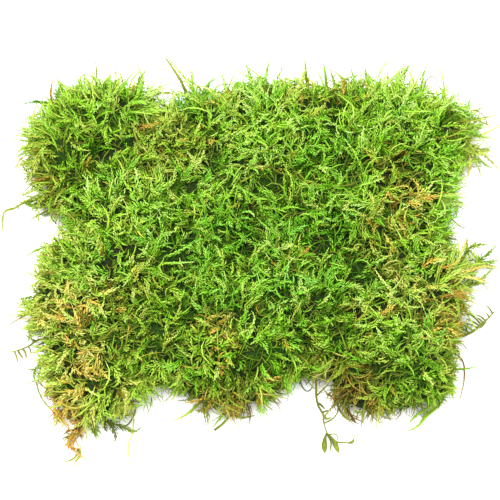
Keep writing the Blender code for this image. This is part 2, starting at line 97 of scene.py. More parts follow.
# The torn outline of the sheet at its widest line, anticlockwise from the middle of the right side.
SHEET_OUTLINE = [
    (98, 5), (100, 25), (106, 40), (113, 54), (105, 68), (87, 78), (67, 82), (45, 82), (25, 84), (6, 84),
    (-12, 79), (-30, 77), (-41, 69), (-60, 80), (-76, 84), (-90, 79), (-102, 70), (-108, 56), (-107, 36),
    (-101, 21), (-89, 8), (-98, -4), (-104, -20), (-105, -35), (-101, -50), (-99, -64), (-95, -79),
    (-87, -88), (-72, -91), (-58, -88), (-50, -78), (-41, -75), (-28, -82), (-9, -87), (8, -83), (22, -72),
    (32, -68), (40, -79), (50, -88), (68, -89), (88, -84), (97, -76), (98, -58), (101, -40), (105, -24),
    (100, -8),
]
MOUNDS = [  # x, y, rise (or, if negative, the depth of a hollow) and spread
    (-78, 65, 5, 14), (-98, 46, 3, 10), (8, 58, 4, 14), (75, 59, 5, 16), (-72, -14, 4, 14), (57, 15, 4, 12),
    (-18, -60, 5, 12), (75, -60, 6, 16), (-45, 13, 3, 12), (17, -33, 4, 12), (101, 50, 3, 9),
    (-86, 40, -4, 10), (-50, 64, -3, 8), (48, 62, -4, 8), (34, 38, -4, 8), (8, 20, -4, 8), (0, 2, -4, 7),
    (-32, -9, -3, 9), (-62, -44, -5, 9), (-25, -36, -3, 9), (32, -55, -5, 8), (47, -72, -4, 8),
    (-7, -78, -4, 9), (44, -6, -4, 10), (80, 32, -4, 7), (-82, -76, -4, 11),
]
# Patches where the moss is dry or dead: x, y, spread, dryness (olive to straw) and rust (orange to brown).
DRY_PATCHES = [
    (-92, -30, 18, 0.2, 0.02), (-86, -56, 20, 0.24, 0.05), (-84, -43, 4.0, 0.5, 2.2),
    (-77, -68, 5.0, 0.55, 2.0), (-84, -84, 7, 0.6, 1.2), (-98, -70, 6, 0.2, 0.3), (-96, -12, 8, 0.35, 0.2),
    (-60, -78, 12, 0.4, 0.12), (72, 30, 7, 0.35, 0.7), (69, 3, 6, 0.4, 1.0), (72, -24, 6, 0.5, 0.9),
    (-16, -53, 6, 0.4, 1.1), (24, 78, 7, 0.4, 0.6), (-48, 52, 11, 0.5, 0.15), (-30, 40, 10, 0.4, 0.12),
    (113, 54, 9, 0.5, 0.1), (95, -36, 9, 0.4, 0.5), (-5, -84, 7, 0.7, 0.9), (-14, -80, 8, 0.5, 0.6),
    (98, -14, 8, 0.45, 0.1), (76, 14, 8, 0.35, 0.4), (47, -78, 9, 0.9, 0.9), (-42, 78, 5, 0.3, 0.6),
    (60, -8, 8, 0.3, 0.2), (-52, -30, 9, 0.3, 0.12), (4, 30, 8, 0.2, 0.1), (32, -62, 8, 0.5, 0.15),
    (-100, 56, 8, 0.35, 0.15), (-98, 30, 8, 0.5, 0.3), (-104, 16, 7, 0.5, 0.3), (-74, -44, 14, 0.2, 0.05),
    (-34, -52, 12, 0.25, 0.05), (60, -44, 13, 0.28, 0.08), (93, -46, 8, 0.5, 0.9), (56, -84, 8, 0.5, 0.3),
    (-14, 62, 9, 0.2, 0.1), (92, -72, 9, 0.35, 0.15), (16, -12, 6, 0.3, 0.3), (86, 60, 14, -0.25, 0),
    (45, 56, 12, -0.1, 0), (-50, 33, 8, 0.35, 0.3), (40, 74, 7, 0.3, 0.2),
]
# Patches where the shoots are lighter or darker: x, y, spread and how much lighter. The lighter ones are
# fresher, yellower growth. The darker ones are mostly painted shade in the hollows and gaps, and darker dead
# growth where they lie on rust patches.
FRESH_AND_SHADE_PATCHES = [
    (14, 74, 16, 0.2), (68, 72, 14, 0.16), (-80, 76, 14, 0.12), (-30, -30, 18, 0.05), (78, 62, 12, 0.12),
    (-60, 8, 14, 0.2), (-83, 40, 12, -0.3), (34, 40, 11, -0.14), (8, 22, 9, -0.14), (0, 6, 8, -0.22),
    (48, 66, 8, -0.14), (-14, 28, 12, 0.08), (33, -50, 9, -0.2), (48, -80, 9, -0.95), (80, 34, 6, -0.3),
    (-50, -48, 11, -0.32), (-48, 35, 10, -0.12), (85, -60, 14, 0.04), (-24, -76, 12, -0.15),
    (-6, -82, 9, -0.15), (28, 4, 10, -0.14), (-62, -62, 9, -0.15), (95, -44, 8, -0.32), (104, 40, 12, 0.06),
    (-88, -50, 14, 0.2), (-15, -7, 8, -0.25), (42, -14, 10, -0.2), (-28, -38, 9, -0.28),
    (30, -62, 7, -0.25), (88, 16, 9, 0.26), (80, -32, 10, 0.34), (-14, -24, 12, -0.14), (-70, 22, 8, 0.16),
    (-84, -43, 5, 0.2), (-76, -67, 5, 0.2), (-97, -64, 8, 0.25), (73, 3, 6, -0.25), (72, 30, 6, -0.2),
    (72, -24, 5, -0.25), (62, -34, 8, 0.2), (64, -56, 9, 0.2), (86, -14, 8, 0.2), (86, 44, 9, 0.26),
    (38, 18, 10, 0.1), (-68, 80, 7, 0.16), (-88, -84, 8, 0.25), (-82, 30, 6, -0.2), (-32, -52, 8, -0.12),
    (43, 65, 6, -0.4), (-8, -84, 8, -0.15), (20, 52, 9, 0.12), (-90, -22, 10, 0.1), (-82, -78, 9, 0.2),
    (-93, -76, 8, 0.28),
]
COOL_MIDDLE = (8, -10, 46, 0.5)  # the cooler green in the middle: x, y, spread and how much

# Bright young tufts (x, y), and gaps between the tufts through which the dark core shows (x, y, spread).
BRIGHT_TUFTS = [
    (-49, -43), (-37, -66), (-16, -31), (-1, 11), (-18, 7), (-18, -20), (50, -71), (45, 51), (-75, 61),
    (57, 53), (-74, 4), (-50, -64), (62, 11), (-79, -32), (6, 49), (25, 10), (54, -48), (-41, -7),
    (60, -79), (14, -13), (53, 26), (-18, -62), (-29, -64), (-56, 43), (30, -30), (78, 62), (-60, -22),
    (26, 66), (-92, 50), (84, -60),
]
GAPS = [
    (0, -4, 3.6), (-33, -14, 3.4), (2, -43, 3.6), (12, 24, 3.4), (36, -7, 3.6), (-70, -22, 3.2),
    (-72, -42, 3.2), (-43, -53, 4.0), (-45, -72, 3.6), (-24, -76, 3.4), (2, -62, 3.2), (42, -71, 4.2),
    (63, -70, 3.0), (75, -76, 3.0), (82, 32, 3.4), (74, 43, 3.2), (43, 64, 3.4), (-54, 59, 2.8),
    (-66, 67, 2.4), (-98, 37, 3.4), (50, -80, 4.0), (91, -38, 3.6), (18, 13, 2.8), (31, 38, 3.4),
    (-74, 38, 3.4), (-20, 37, 2.8), (101, 55, 2.4), (44, 34, 2.8), (-32, 20, 2.6), (-8, -20, 2.6),
    (-92, -58, 3.0), (46, -54, 3.0),
]

# Places along the torn edge where the shoots reach less or more far out: x, y, spread and change in length.
RIM_GROWTH = [
    (101, -66, 14, -0.6), (88, -88, 12, -0.5), (70, -90, 9, -0.5), (-97, 0, 9, -0.5), (-104, -22, 6, -0.35),
    (-100, -54, 7, -0.2), (-96, -82, 8, -0.65), (-52, -86, 6, -0.5), (20, -76, 7, -0.4),
    (111, 54, 4.5, 0.6), (102, 67, 6, 0.75), (64, 79, 5, 1.2), (43, 79, 5, 0.7), (3, 81, 6, 1.0),
    (-21, 76, 5, 0.75), (-37, 70, 4, 0.5), (-59, 77, 4, 0.85), (-83, 80, 5, 0.4), (-101, 70, 6, 0.85),
    (82, 76, 5, 0.8), (95, 73, 5, 1.0), (106, -36, 9, 0.5), (112, -20, 9, 0.4), (-3, -84, 6, 0.2),
    (45, -80, 5, 0.5), (-107, 50, 5, 0.4), (-103, 28, 6, 0.7), (101, 14, 6, 0.1), (103, 31, 5, 0.6),
    (-103, -39, 6, 0.6), (50, 79, 4, 0.4), (-36, -79, 7, -0.5), (98, -78, 6, 0.4), (106, 41, 5, -0.4),
    (-14, -86, 5, -0.3), (8, -84, 5, -0.35), (74, -88, 5, -0.3), (102, -49, 5, -0.3),
]


class MossSheetSizes(bpy.types.PropertyGroup):
    """Sizes of the sheet and its shoots."""

    mat_height: bpy.props.FloatProperty(
        name="Mat height", description="Height of the mat's surface above the ground, without tips, in mm",
        default=24.0, min=10.0, max=60.0)
    widest_line: bpy.props.FloatProperty(
        name="Widest line", description="Height of the mat's outermost line above the ground, in mm",
        default=6.0, min=1.0, max=20.0)
    shoulder: bpy.props.FloatProperty(
        name="Shoulder", description="Width over which the torn edge rises to the full height, in mm",
        default=17.0, min=4.0, max=40.0)
    core_depth: bpy.props.FloatProperty(
        name="Core depth", description="How far the matted core lies under the mat's surface, in mm",
        default=4.0, min=0.5, max=10.0)
    shoot_count: bpy.props.IntProperty(
        name="Shoots", description="How many leafy shoots grow on the core", default=4400, min=100, max=6000)
    blade_count: bpy.props.IntProperty(
        name="Blades", description="How many bare blades and young tips grow between them",
        default=1800, min=0, max=9000)
    hair_count: bpy.props.IntProperty(
        name="Edge hairs", description="How many thin hairs stick out round the torn edge",
        default=420, min=0, max=3000)
    tufting: bpy.props.FloatProperty(
        name="Tufting", description="How strongly the shoots crowd into tufts",
        default=0.75, min=0.0, max=1.5)
    old_stems: bpy.props.IntProperty(
        name="Old stems", description="How many old shoots and dead stems lie in the gaps",
        default=5200, min=0, max=9000)
    shoot_length: bpy.props.FloatProperty(
        name="Shoot length", description="Typical length of a shoot's free end, in mm",
        default=13.5, min=4.0, max=40.0)
    leaf_length: bpy.props.FloatProperty(
        name="Leaf length", description="Length of a shoot's longest side leaves, in mm",
        default=3.9, min=1.0, max=12.0)
    leaf_width: bpy.props.FloatProperty(
        name="Leaf width", description="Half width of a side leaf, in mm", default=0.56, min=0.1, max=2.0)
    leaf_spacing: bpy.props.FloatProperty(
        name="Leaf spacing", description="Distance between leaves along a shoot, in mm",
        default=0.92, min=0.3, max=4.0)
    stem_radius: bpy.props.FloatProperty(
        name="Stem radius", description="Half width of a shoot's stem at its foot, in mm",
        default=0.5, min=0.1, max=2.0)
    thatch_strands: bpy.props.IntProperty(
        name="Thatch strands",
        description="At most how many dead stems lie under the thatch. Half as many stand round its edge",
        default=2200, min=0, max=6000)


class MossColours(bpy.types.PropertyGroup):
    """Colours of the moss, from its shaded depths to its tips."""

    deep: bpy.props.FloatVectorProperty(
        name="Deep green", description="Oldest, shaded leaves", subtype="COLOR", size=3,
        default=(0.019, 0.080, 0.001))
    middle: bpy.props.FloatVectorProperty(
        name="Middle green", description="Most of the leaves", subtype="COLOR", size=3,
        default=(0.165, 0.412, 0.010))
    bright: bpy.props.FloatVectorProperty(
        name="Bright green", description="Young leaves", subtype="COLOR", size=3,
        default=(0.345, 0.575, 0.048))
    # The tip's paleness also stands in for the leaves' highlight: painted highlight, as well as the paler
    # young tips.
    tip: bpy.props.FloatVectorProperty(
        name="Tip", description="The youngest tips", subtype="COLOR", size=3,
        default=(0.530, 0.700, 0.240))
    olive: bpy.props.FloatVectorProperty(
        name="Olive", description="Leaves that begin to dry", subtype="COLOR", size=3,
        default=(0.300, 0.350, 0.040))
    straw: bpy.props.FloatVectorProperty(
        name="Straw", description="Dried leaves", subtype="COLOR", size=3,
        default=(0.500, 0.465, 0.110))
    rust: bpy.props.FloatVectorProperty(
        name="Rust", description="Dead leaves", subtype="COLOR", size=3,
        default=(0.420, 0.190, 0.035))
    orange: bpy.props.FloatVectorProperty(
        name="Orange", description="Freshly withered leaves", subtype="COLOR", size=3,
        default=(0.680, 0.370, 0.060))
    peat: bpy.props.FloatVectorProperty(
        name="Peat", description="The matted core and dead stems", subtype="COLOR", size=3,
        default=(0.030, 0.022, 0.010))
    strand: bpy.props.FloatVectorProperty(
        name="Dead stem", description="Dead brown stems of the thatch", subtype="COLOR", size=3,
        default=(0.200, 0.110, 0.035))


class MossStageSettings(bpy.types.PropertyGroup):
    """The floor, the light and the camera."""

    camera_height: bpy.props.FloatProperty(
        name="Camera elevation", description="Angle of the camera above the floor", subtype="ANGLE",
        default=math.radians(68), min=0.0, max=math.radians(90))
    camera_distance: bpy.props.FloatProperty(
        name="Camera distance", description="Distance of the camera from the clump, in m", unit="LENGTH",
        default=0.7, min=0.2, max=5.0)
    lens: bpy.props.FloatProperty(
        name="Lens", description="Focal length of the camera, in mm", default=100.8, min=20.0, max=300.0)
    sky: bpy.props.FloatProperty(
        name="Sky strength", description="Strength of the even white light from all round",
        default=0.9, min=0.0, max=5.0)
    key: bpy.props.FloatProperty(
        name="Key strength", description="Power of the soft light overhead, in W",
        default=24.0, min=0.0, max=100.0)


# --- plan and heights of the sheet ---


def smooth_curve(corners, steps):
    """Points on the smooth curve (Catmull-Rom) through all the corners but the first and the last."""
    t = np.linspace(0, 1, steps, endpoint=False)[:, None]
    stretches = [
        0.5 * (2 * b + (c - a) * t + (2 * a - 5 * b + 4 * c - d) * t**2 + (3 * b - a - 3 * c + d) * t**3)
        for a, b, c, d in zip(corners, corners[1:], corners[2:], corners[3:])
    ]
    return np.concatenate([*stretches, corners[-2:-1]])


def lengths_along(line):
    """How far along the line each of its points lies."""
    return np.concatenate([[0], np.cumsum(np.linalg.norm(np.diff(line, axis=0), axis=1))])


def points_at(line, lengths, places):
    """The points that lie at these places along the line."""
    return np.stack([np.interp(places, lengths, line[:, k]) for k in range(line.shape[1])], 1)


def smooth_loop(points, spacing):
    """Evenly spaced points on the smooth closed curve through the given ones."""
    corners = np.array(points, float)
    line = smooth_curve(np.concatenate([corners[-1:], corners, corners[:2]]), 16)
    lengths = lengths_along(line)
    count = max(3, round(lengths[-1] / spacing))
    return points_at(line, lengths, np.linspace(0, lengths[-1], count, endpoint=False))


def smooth_route(points, count):
    """Evenly spaced points on the smooth open curve through the given ones."""
    corners = np.array(points, float)
    before, beyond = 2 * corners[:1] - corners[1:2], 2 * corners[-1:] - corners[-2:-1]
    line = smooth_curve(np.concatenate([before, corners, beyond]), 12)
    lengths = lengths_along(line)
    return points_at(line, lengths, np.linspace(0, lengths[-1], count))


def nearest_on(loop, points):
    """How far each point is from the closed line through the loop, and the outward direction there."""
    along = np.roll(loop, -1, 0) - loop
    best, outward = np.full(len(points), np.inf), np.zeros((len(points), 2))
    for start, step in zip(loop, along):
        offset = points - start
        share = np.clip(offset @ step / (step @ step), 0, 1)
        away = np.linalg.norm(offset - share[:, None] * step, axis=1)
        closer = away < best
        best[closer] = away[closer]
        outward[closer] = np.array([step[1], -step[0]]) / np.linalg.norm(step)
    return best, outward


def inside(loop, points):
    """Which points lie inside the loop, by the even-odd rule."""
    x, y = points[:, 0], points[:, 1]
    crossings = np.zeros(len(points), int)
    for (ax, ay), (bx, by) in zip(loop, np.roll(loop, -1, 0)):
        spans = (ay > y) != (by > y)
        if ay != by:
            crossings += spans & (x < ax + (y - ay) * (bx - ax) / (by - ay))
    return crossings % 2 == 1


def inset_loop(loop, inset):
    """The loop moved inwards. Points that would fold over at a tight corner are left out."""
    tangent = np.roll(loop, -1, 0) - np.roll(loop, 1, 0)
    tangent /= np.linalg.norm(tangent, axis=1)[:, None]
    moved = loop + inset * np.stack([-tangent[:, 1], tangent[:, 0]], 1)
    return moved[nearest_on(loop, moved)[0] > KEPT_INSET * inset]


def scattered_points(loop, spacing, margin, chance):
    """A jittered triangular grid inside the loop, clear of its edge by the margin."""
    low, high = loop.min(0), loop.max(0)
    rows = np.arange(low[1], high[1], spacing * math.sqrt(0.75))
    grid = np.array([
        (x + spacing * (0.5 * (i % 2) + chance.uniform(-JITTER, JITTER)),
         y + spacing * chance.uniform(-JITTER, JITTER))
        for i, y in enumerate(rows)
        for x in np.arange(low[0], high[0], spacing)
    ])
    grid = grid[inside(loop, grid)]
    return grid[nearest_on(loop, grid)[0] > margin]


def triangulate(loop, points):
    """Triangles between the points and the loop round them."""
    edges = [(i, (i + 1) % len(loop)) for i in range(len(loop))]
    corners = [Vector(p) for p in np.concatenate([loop, points])]
    found = geometry.delaunay_2d_cdt(corners, edges, [], 0, MERGE_DISTANCE)
    plan, faces = np.array([tuple(v) for v in found[0]]), np.array(found[2])
    faces = faces[inside(loop, plan[faces].mean(1))]
    a, b, c = plan[faces[:, 0]], plan[faces[:, 1]], plan[faces[:, 2]]
    turns = (b - a)[:, 0] * (c - a)[:, 1] - (b - a)[:, 1] * (c - a)[:, 0]
    faces[turns < 0] = faces[turns < 0][:, ::-1]
    return plan, faces


def waves(points, size, seed, count=7):
    """Smooth noise between about -1 and 1: a sum of plane waves about the given size."""
    chance = np.random.default_rng(seed)
    total = np.zeros(len(points))
    for _ in range(count):
        heading = chance.normal(size=points.shape[1])
        heading *= 2 * math.pi / size * chance.uniform(0.6, 1.5) / np.linalg.norm(heading)
        total += np.sin(points @ heading + chance.uniform(0, 6.28))
    return total / math.sqrt(count / 2) * 0.7


class Sheet:
    """The sheet's outline and the height of its surface."""

    def __init__(self, sizes):
        self.sizes = sizes
        self.outline = smooth_loop(SHEET_OUTLINE, OUTLINE_SPACING)

    def top(self, plan, outline, lowered):
        """Heights of a layer that lies this much lower than the sheet's surface, inside its own outline."""
        crown = np.full(len(plan), self.sizes.mat_height - lowered - self.sizes.widest_line)
        for x, y, rise, spread in MOUNDS:
            crown += rise * np.exp(-((plan - (x, y)) ** 2).sum(1) / (2 * spread**2))
        share = np.clip(nearest_on(outline, plan)[0] / self.sizes.shoulder, 0, 1)
        return self.sizes.widest_line + crown * np.sqrt(1 - (1 - share) ** 2)


def patch_sum(patches, plan, column=3):
    """The values in the patches' column, added up at each point, each fading out from its patch's middle."""
    total = np.zeros(len(plan))
    for patch in patches:
        total += patch[column] * np.exp(-((plan - patch[:2]) ** 2).sum(1) / (2 * patch[2] ** 2))
    return total


# --- meshes and node trees ---


def new_object(name, mesh):
    placed = bpy.data.objects.new(name, mesh)
    bpy.context.scene.collection.objects.link(placed)
    return placed


def mesh_from(name, points, faces=(), edges=()):
    mesh = bpy.data.meshes.new(name)
    mesh.from_pydata([tuple(p) for p in points], [tuple(e) for e in edges], [tuple(f) for f in faces])
    mesh.update()
    return mesh


def path_mesh(name, paths, columns):
    """A mesh of open paths, one row of points each, with the columns' values stored at their points."""
    rows, length = paths.shape[:2]
    first = np.arange(rows * length).reshape(rows, length)
    edges = np.stack([first[:, :-1].ravel(), first[:, 1:].ravel()], 1)
    mesh = mesh_from(name, paths.reshape(-1, 3) * MM, edges=edges)
    for column, values in columns.items():
        values = np.broadcast_to(np.asarray(values, float).reshape(rows, -1), (rows, length))
        layer = mesh.attributes.new(column, "FLOAT", "POINT")
        layer.data.foreach_set("value", np.ascontiguousarray(values.ravel(), dtype=np.float32))
    return mesh


class NodeSheet:
    """A node tree being laid out: adds nodes and links sockets or plain values into them."""

    def __init__(self, tree):
        self.tree = tree
        self.column = 0

    def add(self, kind, settings=None, **values):
        node = self.tree.nodes.new(kind)
        node.location = (180 * self.column, 0)
        self.column += 1
        for key, value in (settings or {}).items():
            setattr(node, key, value)
        for key, value in values.items():
            self.feed(node, key.replace("_", " "), value)
        return node

    def feed(self, node, key, value):
        if isinstance(key, str):
            live = {s.name.lower(): s for s in reversed(node.inputs) if s.enabled}
            if key.lower() not in live:
                raise KeyError(f"{node.bl_idname} has no input {key}: {list(live)}")
            socket = live[key.lower()]
        else:
            socket = node.inputs[key]
        if isinstance(value, bpy.types.NodeSocket):
            self.tree.links.new(value, socket)
        else:
            socket.default_value = value

    def math(self, operation, *values):
        node = self.add("ShaderNodeMath", {"operation": operation})
        for i, value in enumerate(values):
            self.feed(node, i, value)
        return node.outputs[0]

    def vector(self, operation, *values):
        node = self.add("ShaderNodeVectorMath", {"operation": operation})
        for i, value in enumerate(values):
            self.feed(node, i, value)
        return node.outputs[0]

    def scaled(self, vector, factor):
        node = self.add("ShaderNodeVectorMath", {"operation": "SCALE"}, scale=factor)
        self.feed(node, 0, vector)
        return node.outputs[0]

    def ease(self, value, start, end, low, high):
        """Goes smoothly from low to high while the value goes from start to end."""
        node = self.add("ShaderNodeMapRange", {"interpolation_type": "SMOOTHSTEP"}, value=value,
                        from_min=start, from_max=end, to_min=low, to_max=high)
        return node.outputs[0]

    def attribute(self, name):
        node = self.add("GeometryNodeInputNamedAttribute", {"data_type": "FLOAT"}, name=name)
        return node.outputs["Attribute"]

    def random(self, low, high, seed):
        node = self.add("FunctionNodeRandomValue", {"data_type": "FLOAT"})
        live = [s for s in node.inputs if s.enabled]
        live[0].default_value, live[1].default_value = low, high
        self.feed(node, "Seed", seed)
        return [s for s in node.outputs if s.enabled][0]


def tree_input(tree, name, kind, default=None, low=None, high=None):
    socket = tree.interface.new_socket(name, in_out="INPUT", socket_type=kind)
    if default is not None:
        socket.default_value = default
    if low is not None:
        socket.min_value, socket.max_value = low, high


def above_ground(n, geometry):
    """The geometry, with what would dip under the ground laid on it."""
    place = n.add("ShaderNodeSeparateXYZ", vector=n.add("GeometryNodeInputPosition").outputs[0]).outputs
    height = n.math("MAXIMUM", place[2], LOWEST * MM)
    laid = n.add("ShaderNodeCombineXYZ", x=place[0], y=place[1], z=height).outputs[0]
    return n.add("GeometryNodeSetPosition", geometry=geometry, position=laid).outputs[0]


# How leaves vary: their turn and lean, in radians either way, and their length and width, as shares.
LEAF_SWING, LEAF_NOD, LEAF_LENGTHS, LEAF_WIDTHS = 0.5, 0.22, (0.7, 1.15), (0.8, 1.2)


def with_along(n, curve):
    """The curves, with how far along its curve each point lies, from 0 to 1."""
    factor = n.add("GeometryNodeSplineParameter").outputs["Factor"]
    return n.add("GeometryNodeStoreNamedAttribute", {"data_type": "FLOAT", "domain": "POINT"}, geometry=curve,
                 name="along", value=factor).outputs[0]


def swept(n, curve, rings, sides):
    """Stems along the curves, as thick as their girth says, with this many rings and sides."""
    curve = n.add("GeometryNodeResampleCurve", {"mode": "COUNT"}, curve=curve, count=rings).outputs[0]
    profile = n.add("GeometryNodeCurvePrimitiveCircle", {"mode": "RADIUS"}, resolution=sides, radius=1.0)
    return n.add("GeometryNodeCurveToMesh", curve=curve, profile_curve=profile.outputs[0],
                 scale=n.attribute("girth"), fill_caps=True).outputs[0]


def end_tree(n, geometry, material):
    """Ends a tree: the geometry made real, kept above the ground and smooth, in its material."""
    solid = above_ground(n, n.add("GeometryNodeRealizeInstances", geometry=geometry).outputs[0])
    solid = n.add("GeometryNodeSetShadeSmooth", geometry=solid, shade_smooth=True).outputs[0]
    solid = n.add("GeometryNodeSetMaterial", geometry=solid, material=material).outputs[0]
    n.feed(n.add("NodeGroupOutput"), 0, solid)


def leafy_tree():
    """Geometry nodes that turn paths into stems with leaves along them.

    The paths' points carry girth (the stem's half width), reach (the leaves' length), lean (the leaves' angle
    to the stem), turning (the angle from one leaf to the next about the stem) and roll (that of the first).
    """
    tree = bpy.data.node_groups.new("leafy_shoots", "GeometryNodeTree")
    tree_input(tree, "Paths", "NodeSocketGeometry")
    tree_input(tree, "Leaf", "NodeSocketObject")
    tree_input(tree, "Leaf Spacing", "NodeSocketFloat", 0.8 * MM, 0.1 * MM, 0.1)
    tree_input(tree, "Leaf Half Width", "NodeSocketFloat", 0.4 * MM, 0.0, 0.1)
    tree_input(tree, "Stem Rings", "NodeSocketInt", 7, 2, 64)
    tree_input(tree, "Stem Sides", "NodeSocketInt", 3, 3, 12)
    tree_input(tree, "Seed", "NodeSocketInt", 1, 0, 10000)
    tree_input(tree, "Material", "NodeSocketMaterial")
    tree.interface.new_socket("Shoots", in_out="OUTPUT", socket_type="NodeSocketGeometry")
    n = NodeSheet(tree)
    given = n.add("NodeGroupInput").outputs
    curve = n.add("GeometryNodeMeshToCurve", mesh=given["Paths"]).outputs[0]
    curve = with_along(n, n.add("GeometryNodeSetCurveNormal", {"mode": "Z_UP"}, curve=curve).outputs[0])

    joined = n.add("GeometryNodeJoinGeometry")
    tree.links.new(leaves_along(n, given, curve), joined.inputs[0])
    tree.links.new(swept(n, curve, given["Stem Rings"], given["Stem Sides"]), joined.inputs[0])
    end_tree(n, joined.outputs[0], given["Material"])
    return tree


def leaves_along(n, given, curve):
    """The leaves of the leafy shoots, evenly spaced along their stems."""
    seed = given["Seed"]
    spaced = n.add("GeometryNodeResampleCurve", {"mode": "LENGTH"}, curve=curve, length=given["Leaf Spacing"])
    numbered = n.add("GeometryNodeCaptureAttribute", {"domain": "POINT"}, geometry=spaced.outputs[0])
    numbered.capture_items.new("FLOAT", "Place")
    n.feed(numbered, 1, n.add("GeometryNodeSplineParameter").outputs["Index"])
    points = n.add("GeometryNodeCurveToPoints", {"mode": "EVALUATED"}, curve=numbered.outputs[0]).outputs

    # Which way the leaf points: turned about the stem, and leaning away from it.
    turn = n.math("MULTIPLY", numbered.outputs[1], n.attribute("turning"))
    turn = n.math("ADD", n.math("ADD", turn, n.random(-LEAF_SWING, LEAF_SWING, seed)), n.attribute("roll"))
    tangent = points["Tangent"]
    side = n.add("ShaderNodeVectorRotate", {"rotation_type": "AXIS_ANGLE"}, vector=points["Normal"],
                 axis=tangent, angle=turn).outputs[0]
    lean = n.math("ADD", n.attribute("lean"), n.random(-LEAF_NOD, LEAF_NOD, n.math("ADD", seed, 1)))
    ahead = n.scaled(tangent, n.math("COSINE", lean))
    heading = n.vector("ADD", ahead, n.scaled(side, n.math("SINE", lean)))
    facing = n.add("FunctionNodeAlignRotationToVector", {"axis": "Z"}, vector=heading).outputs[0]
    facing = n.add("FunctionNodeAlignRotationToVector", {"axis": "Y", "pivot_axis": "Z"}, rotation=facing,
                   vector=tangent).outputs[0]

    # How large it is: largest a little way up the stem, and small at its tip.
    rise = n.ease(n.attribute("along"), 0.0, 0.22, 0.45, 1.0)
    shape = n.math("MULTIPLY", rise, n.ease(n.attribute("along"), 0.45, 1.0, 1.0, 0.32))
    size = n.math("MULTIPLY", shape, n.random(*LEAF_LENGTHS, n.math("ADD", seed, 2)))
    length = n.math("MULTIPLY", size, n.attribute("reach"))
    thin = n.math("MULTIPLY", given["Leaf Half Width"], n.math("SQRT", shape))
    width = n.math("MULTIPLY", thin, n.random(*LEAF_WIDTHS, n.math("ADD", seed, 3)))
    scale = n.add("ShaderNodeCombineXYZ", x=width, y=width, z=length).outputs[0]

    leaf = n.add("GeometryNodeObjectInfo", {"transform_space": "ORIGINAL"}, object=given["Leaf"])
    leafy = n.math("GREATER_THAN", n.attribute("reach"), 0.1 * MM)
    leaves = n.add("GeometryNodeInstanceOnPoints", points=points["Points"], instance=leaf.outputs["Geometry"],
                   selection=leafy, rotation=facing, scale=scale).outputs[0]
    return n.add("GeometryNodeStoreNamedAttribute", {"data_type": "FLOAT", "domain": "INSTANCE"},
                 geometry=leaves, name="spread", value=n.random(-1.0, 1.0, n.math("ADD", seed, 4))).outputs[0]


def strand_tree():
    """Geometry nodes that turn paths into bare tapering strands, as thick as their girth says."""
    tree = bpy.data.node_groups.new("bare_strands", "GeometryNodeTree")
    tree_input(tree, "Paths", "NodeSocketGeometry")
    tree_input(tree, "Rings", "NodeSocketInt", 5, 2, 64)
    tree_input(tree, "Sides", "NodeSocketInt", 3, 3, 12)
    tree_input(tree, "Material", "NodeSocketMaterial")
    tree.interface.new_socket("Strands", in_out="OUTPUT", socket_type="NodeSocketGeometry")
    n = NodeSheet(tree)
    given = n.add("NodeGroupInput").outputs
    curve = with_along(n, n.add("GeometryNodeMeshToCurve", mesh=given["Paths"]).outputs[0])
    end_tree(n, swept(n, curve, given["Rings"], given["Sides"]), given["Material"])
    return tree


def grown(mesh, tree, inputs):
    """The plain mesh that a node tree makes of a mesh."""
    seed_object = new_object("growing", mesh)
    modifier = seed_object.modifiers.new("grow", "NODES")
    modifier.node_group = tree
    for item in tree.interface.items_tree:
        if item.item_type == "SOCKET" and item.in_out == "INPUT" and item.name in inputs:
            modifier[item.identifier] = inputs[item.name]
    seed_object.update_tag()
    graph = bpy.context.evaluated_depsgraph_get()
    graph.update()
    made = bpy.data.meshes.new_from_object(seed_object.evaluated_get(graph))
    seed_object.modifiers.clear()
    bpy.data.objects.remove(seed_object)
    bpy.data.meshes.remove(mesh)
    return made


def finish_piece(name, mesh, slot, *nodes):
    """Places a finished piece, on the clump's one body, in the place of its CAD nodes."""
    mesh.name = name
    piece = new_object(name, mesh)
    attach(piece, "root")
    if nodes:
        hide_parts(*nodes)


def finish_strands(name, paths, columns, rings, material, slot, node):
    """Grows bare strands along the paths, with this many rings each, and finishes them as one piece."""
    inputs = {"Rings": rings, "Sides": 3, "Material": moss_materials()[material]}
    mesh = grown(path_mesh("paths", paths, columns), strand_tree(), inputs)
    finish_piece(name, mesh, slot, node)


# --- paths that the shoots follow ---


def unit(vectors):
    return vectors / np.maximum(np.linalg.norm(vectors, axis=-1, keepdims=True), 1e-9)


def bending_paths(roots, headings, lengths, droop, curl, lowest=LOWEST_PATH):
    """Paths from the roots that bend down by the droop and sideways by the curl, in radians, on their way."""
    up = np.array([0.0, 0.0, 1.0])
    heading, place, made = unit(headings), roots.copy(), [roots.copy()]
    for _ in range(PATH_STEPS):
        side = unit(np.cross(heading, up))
        heading = unit(heading + (curl[:, None] * side - droop[:, None] * up) / PATH_STEPS)
        place = place + heading * lengths[:, None] / PATH_STEPS
        place[:, 2] = np.maximum(place[:, 2], lowest)
        made.append(place.copy())
    return np.stack(made, 1)


def girths(half_width, variation, *taper):
    """Half widths along shoots, in metres, thinner as the taper says: places along them and shares there."""
    places, shares = zip(*taper)
    thinner = np.interp(np.linspace(0, 1, PATH_STEPS + 1), places, shares)
    return (half_width * MM * variation)[:, None] * thinner


def edge_share(rim, reach=EDGE_REACH):
    """How much a place belongs to the torn edge: 1 on it, and less the further in it lies."""
    return np.exp(-((rim / reach) ** 2))


def painted_light_of(paths, rim):
    """Painted light for each point of the paths: how well lit it is, by its height above its root and near
    the open side.
    """
    open_edge = 0.6 * edge_share(rim, OPEN_REACH) * np.clip((paths[:, 0, 2] - 5) / 6, 0, 1)
    return np.clip((paths[:, :, 2] - paths[:, :1, 2]) / LIGHT_HEIGHT + open_edge[:, None], 0, 1)


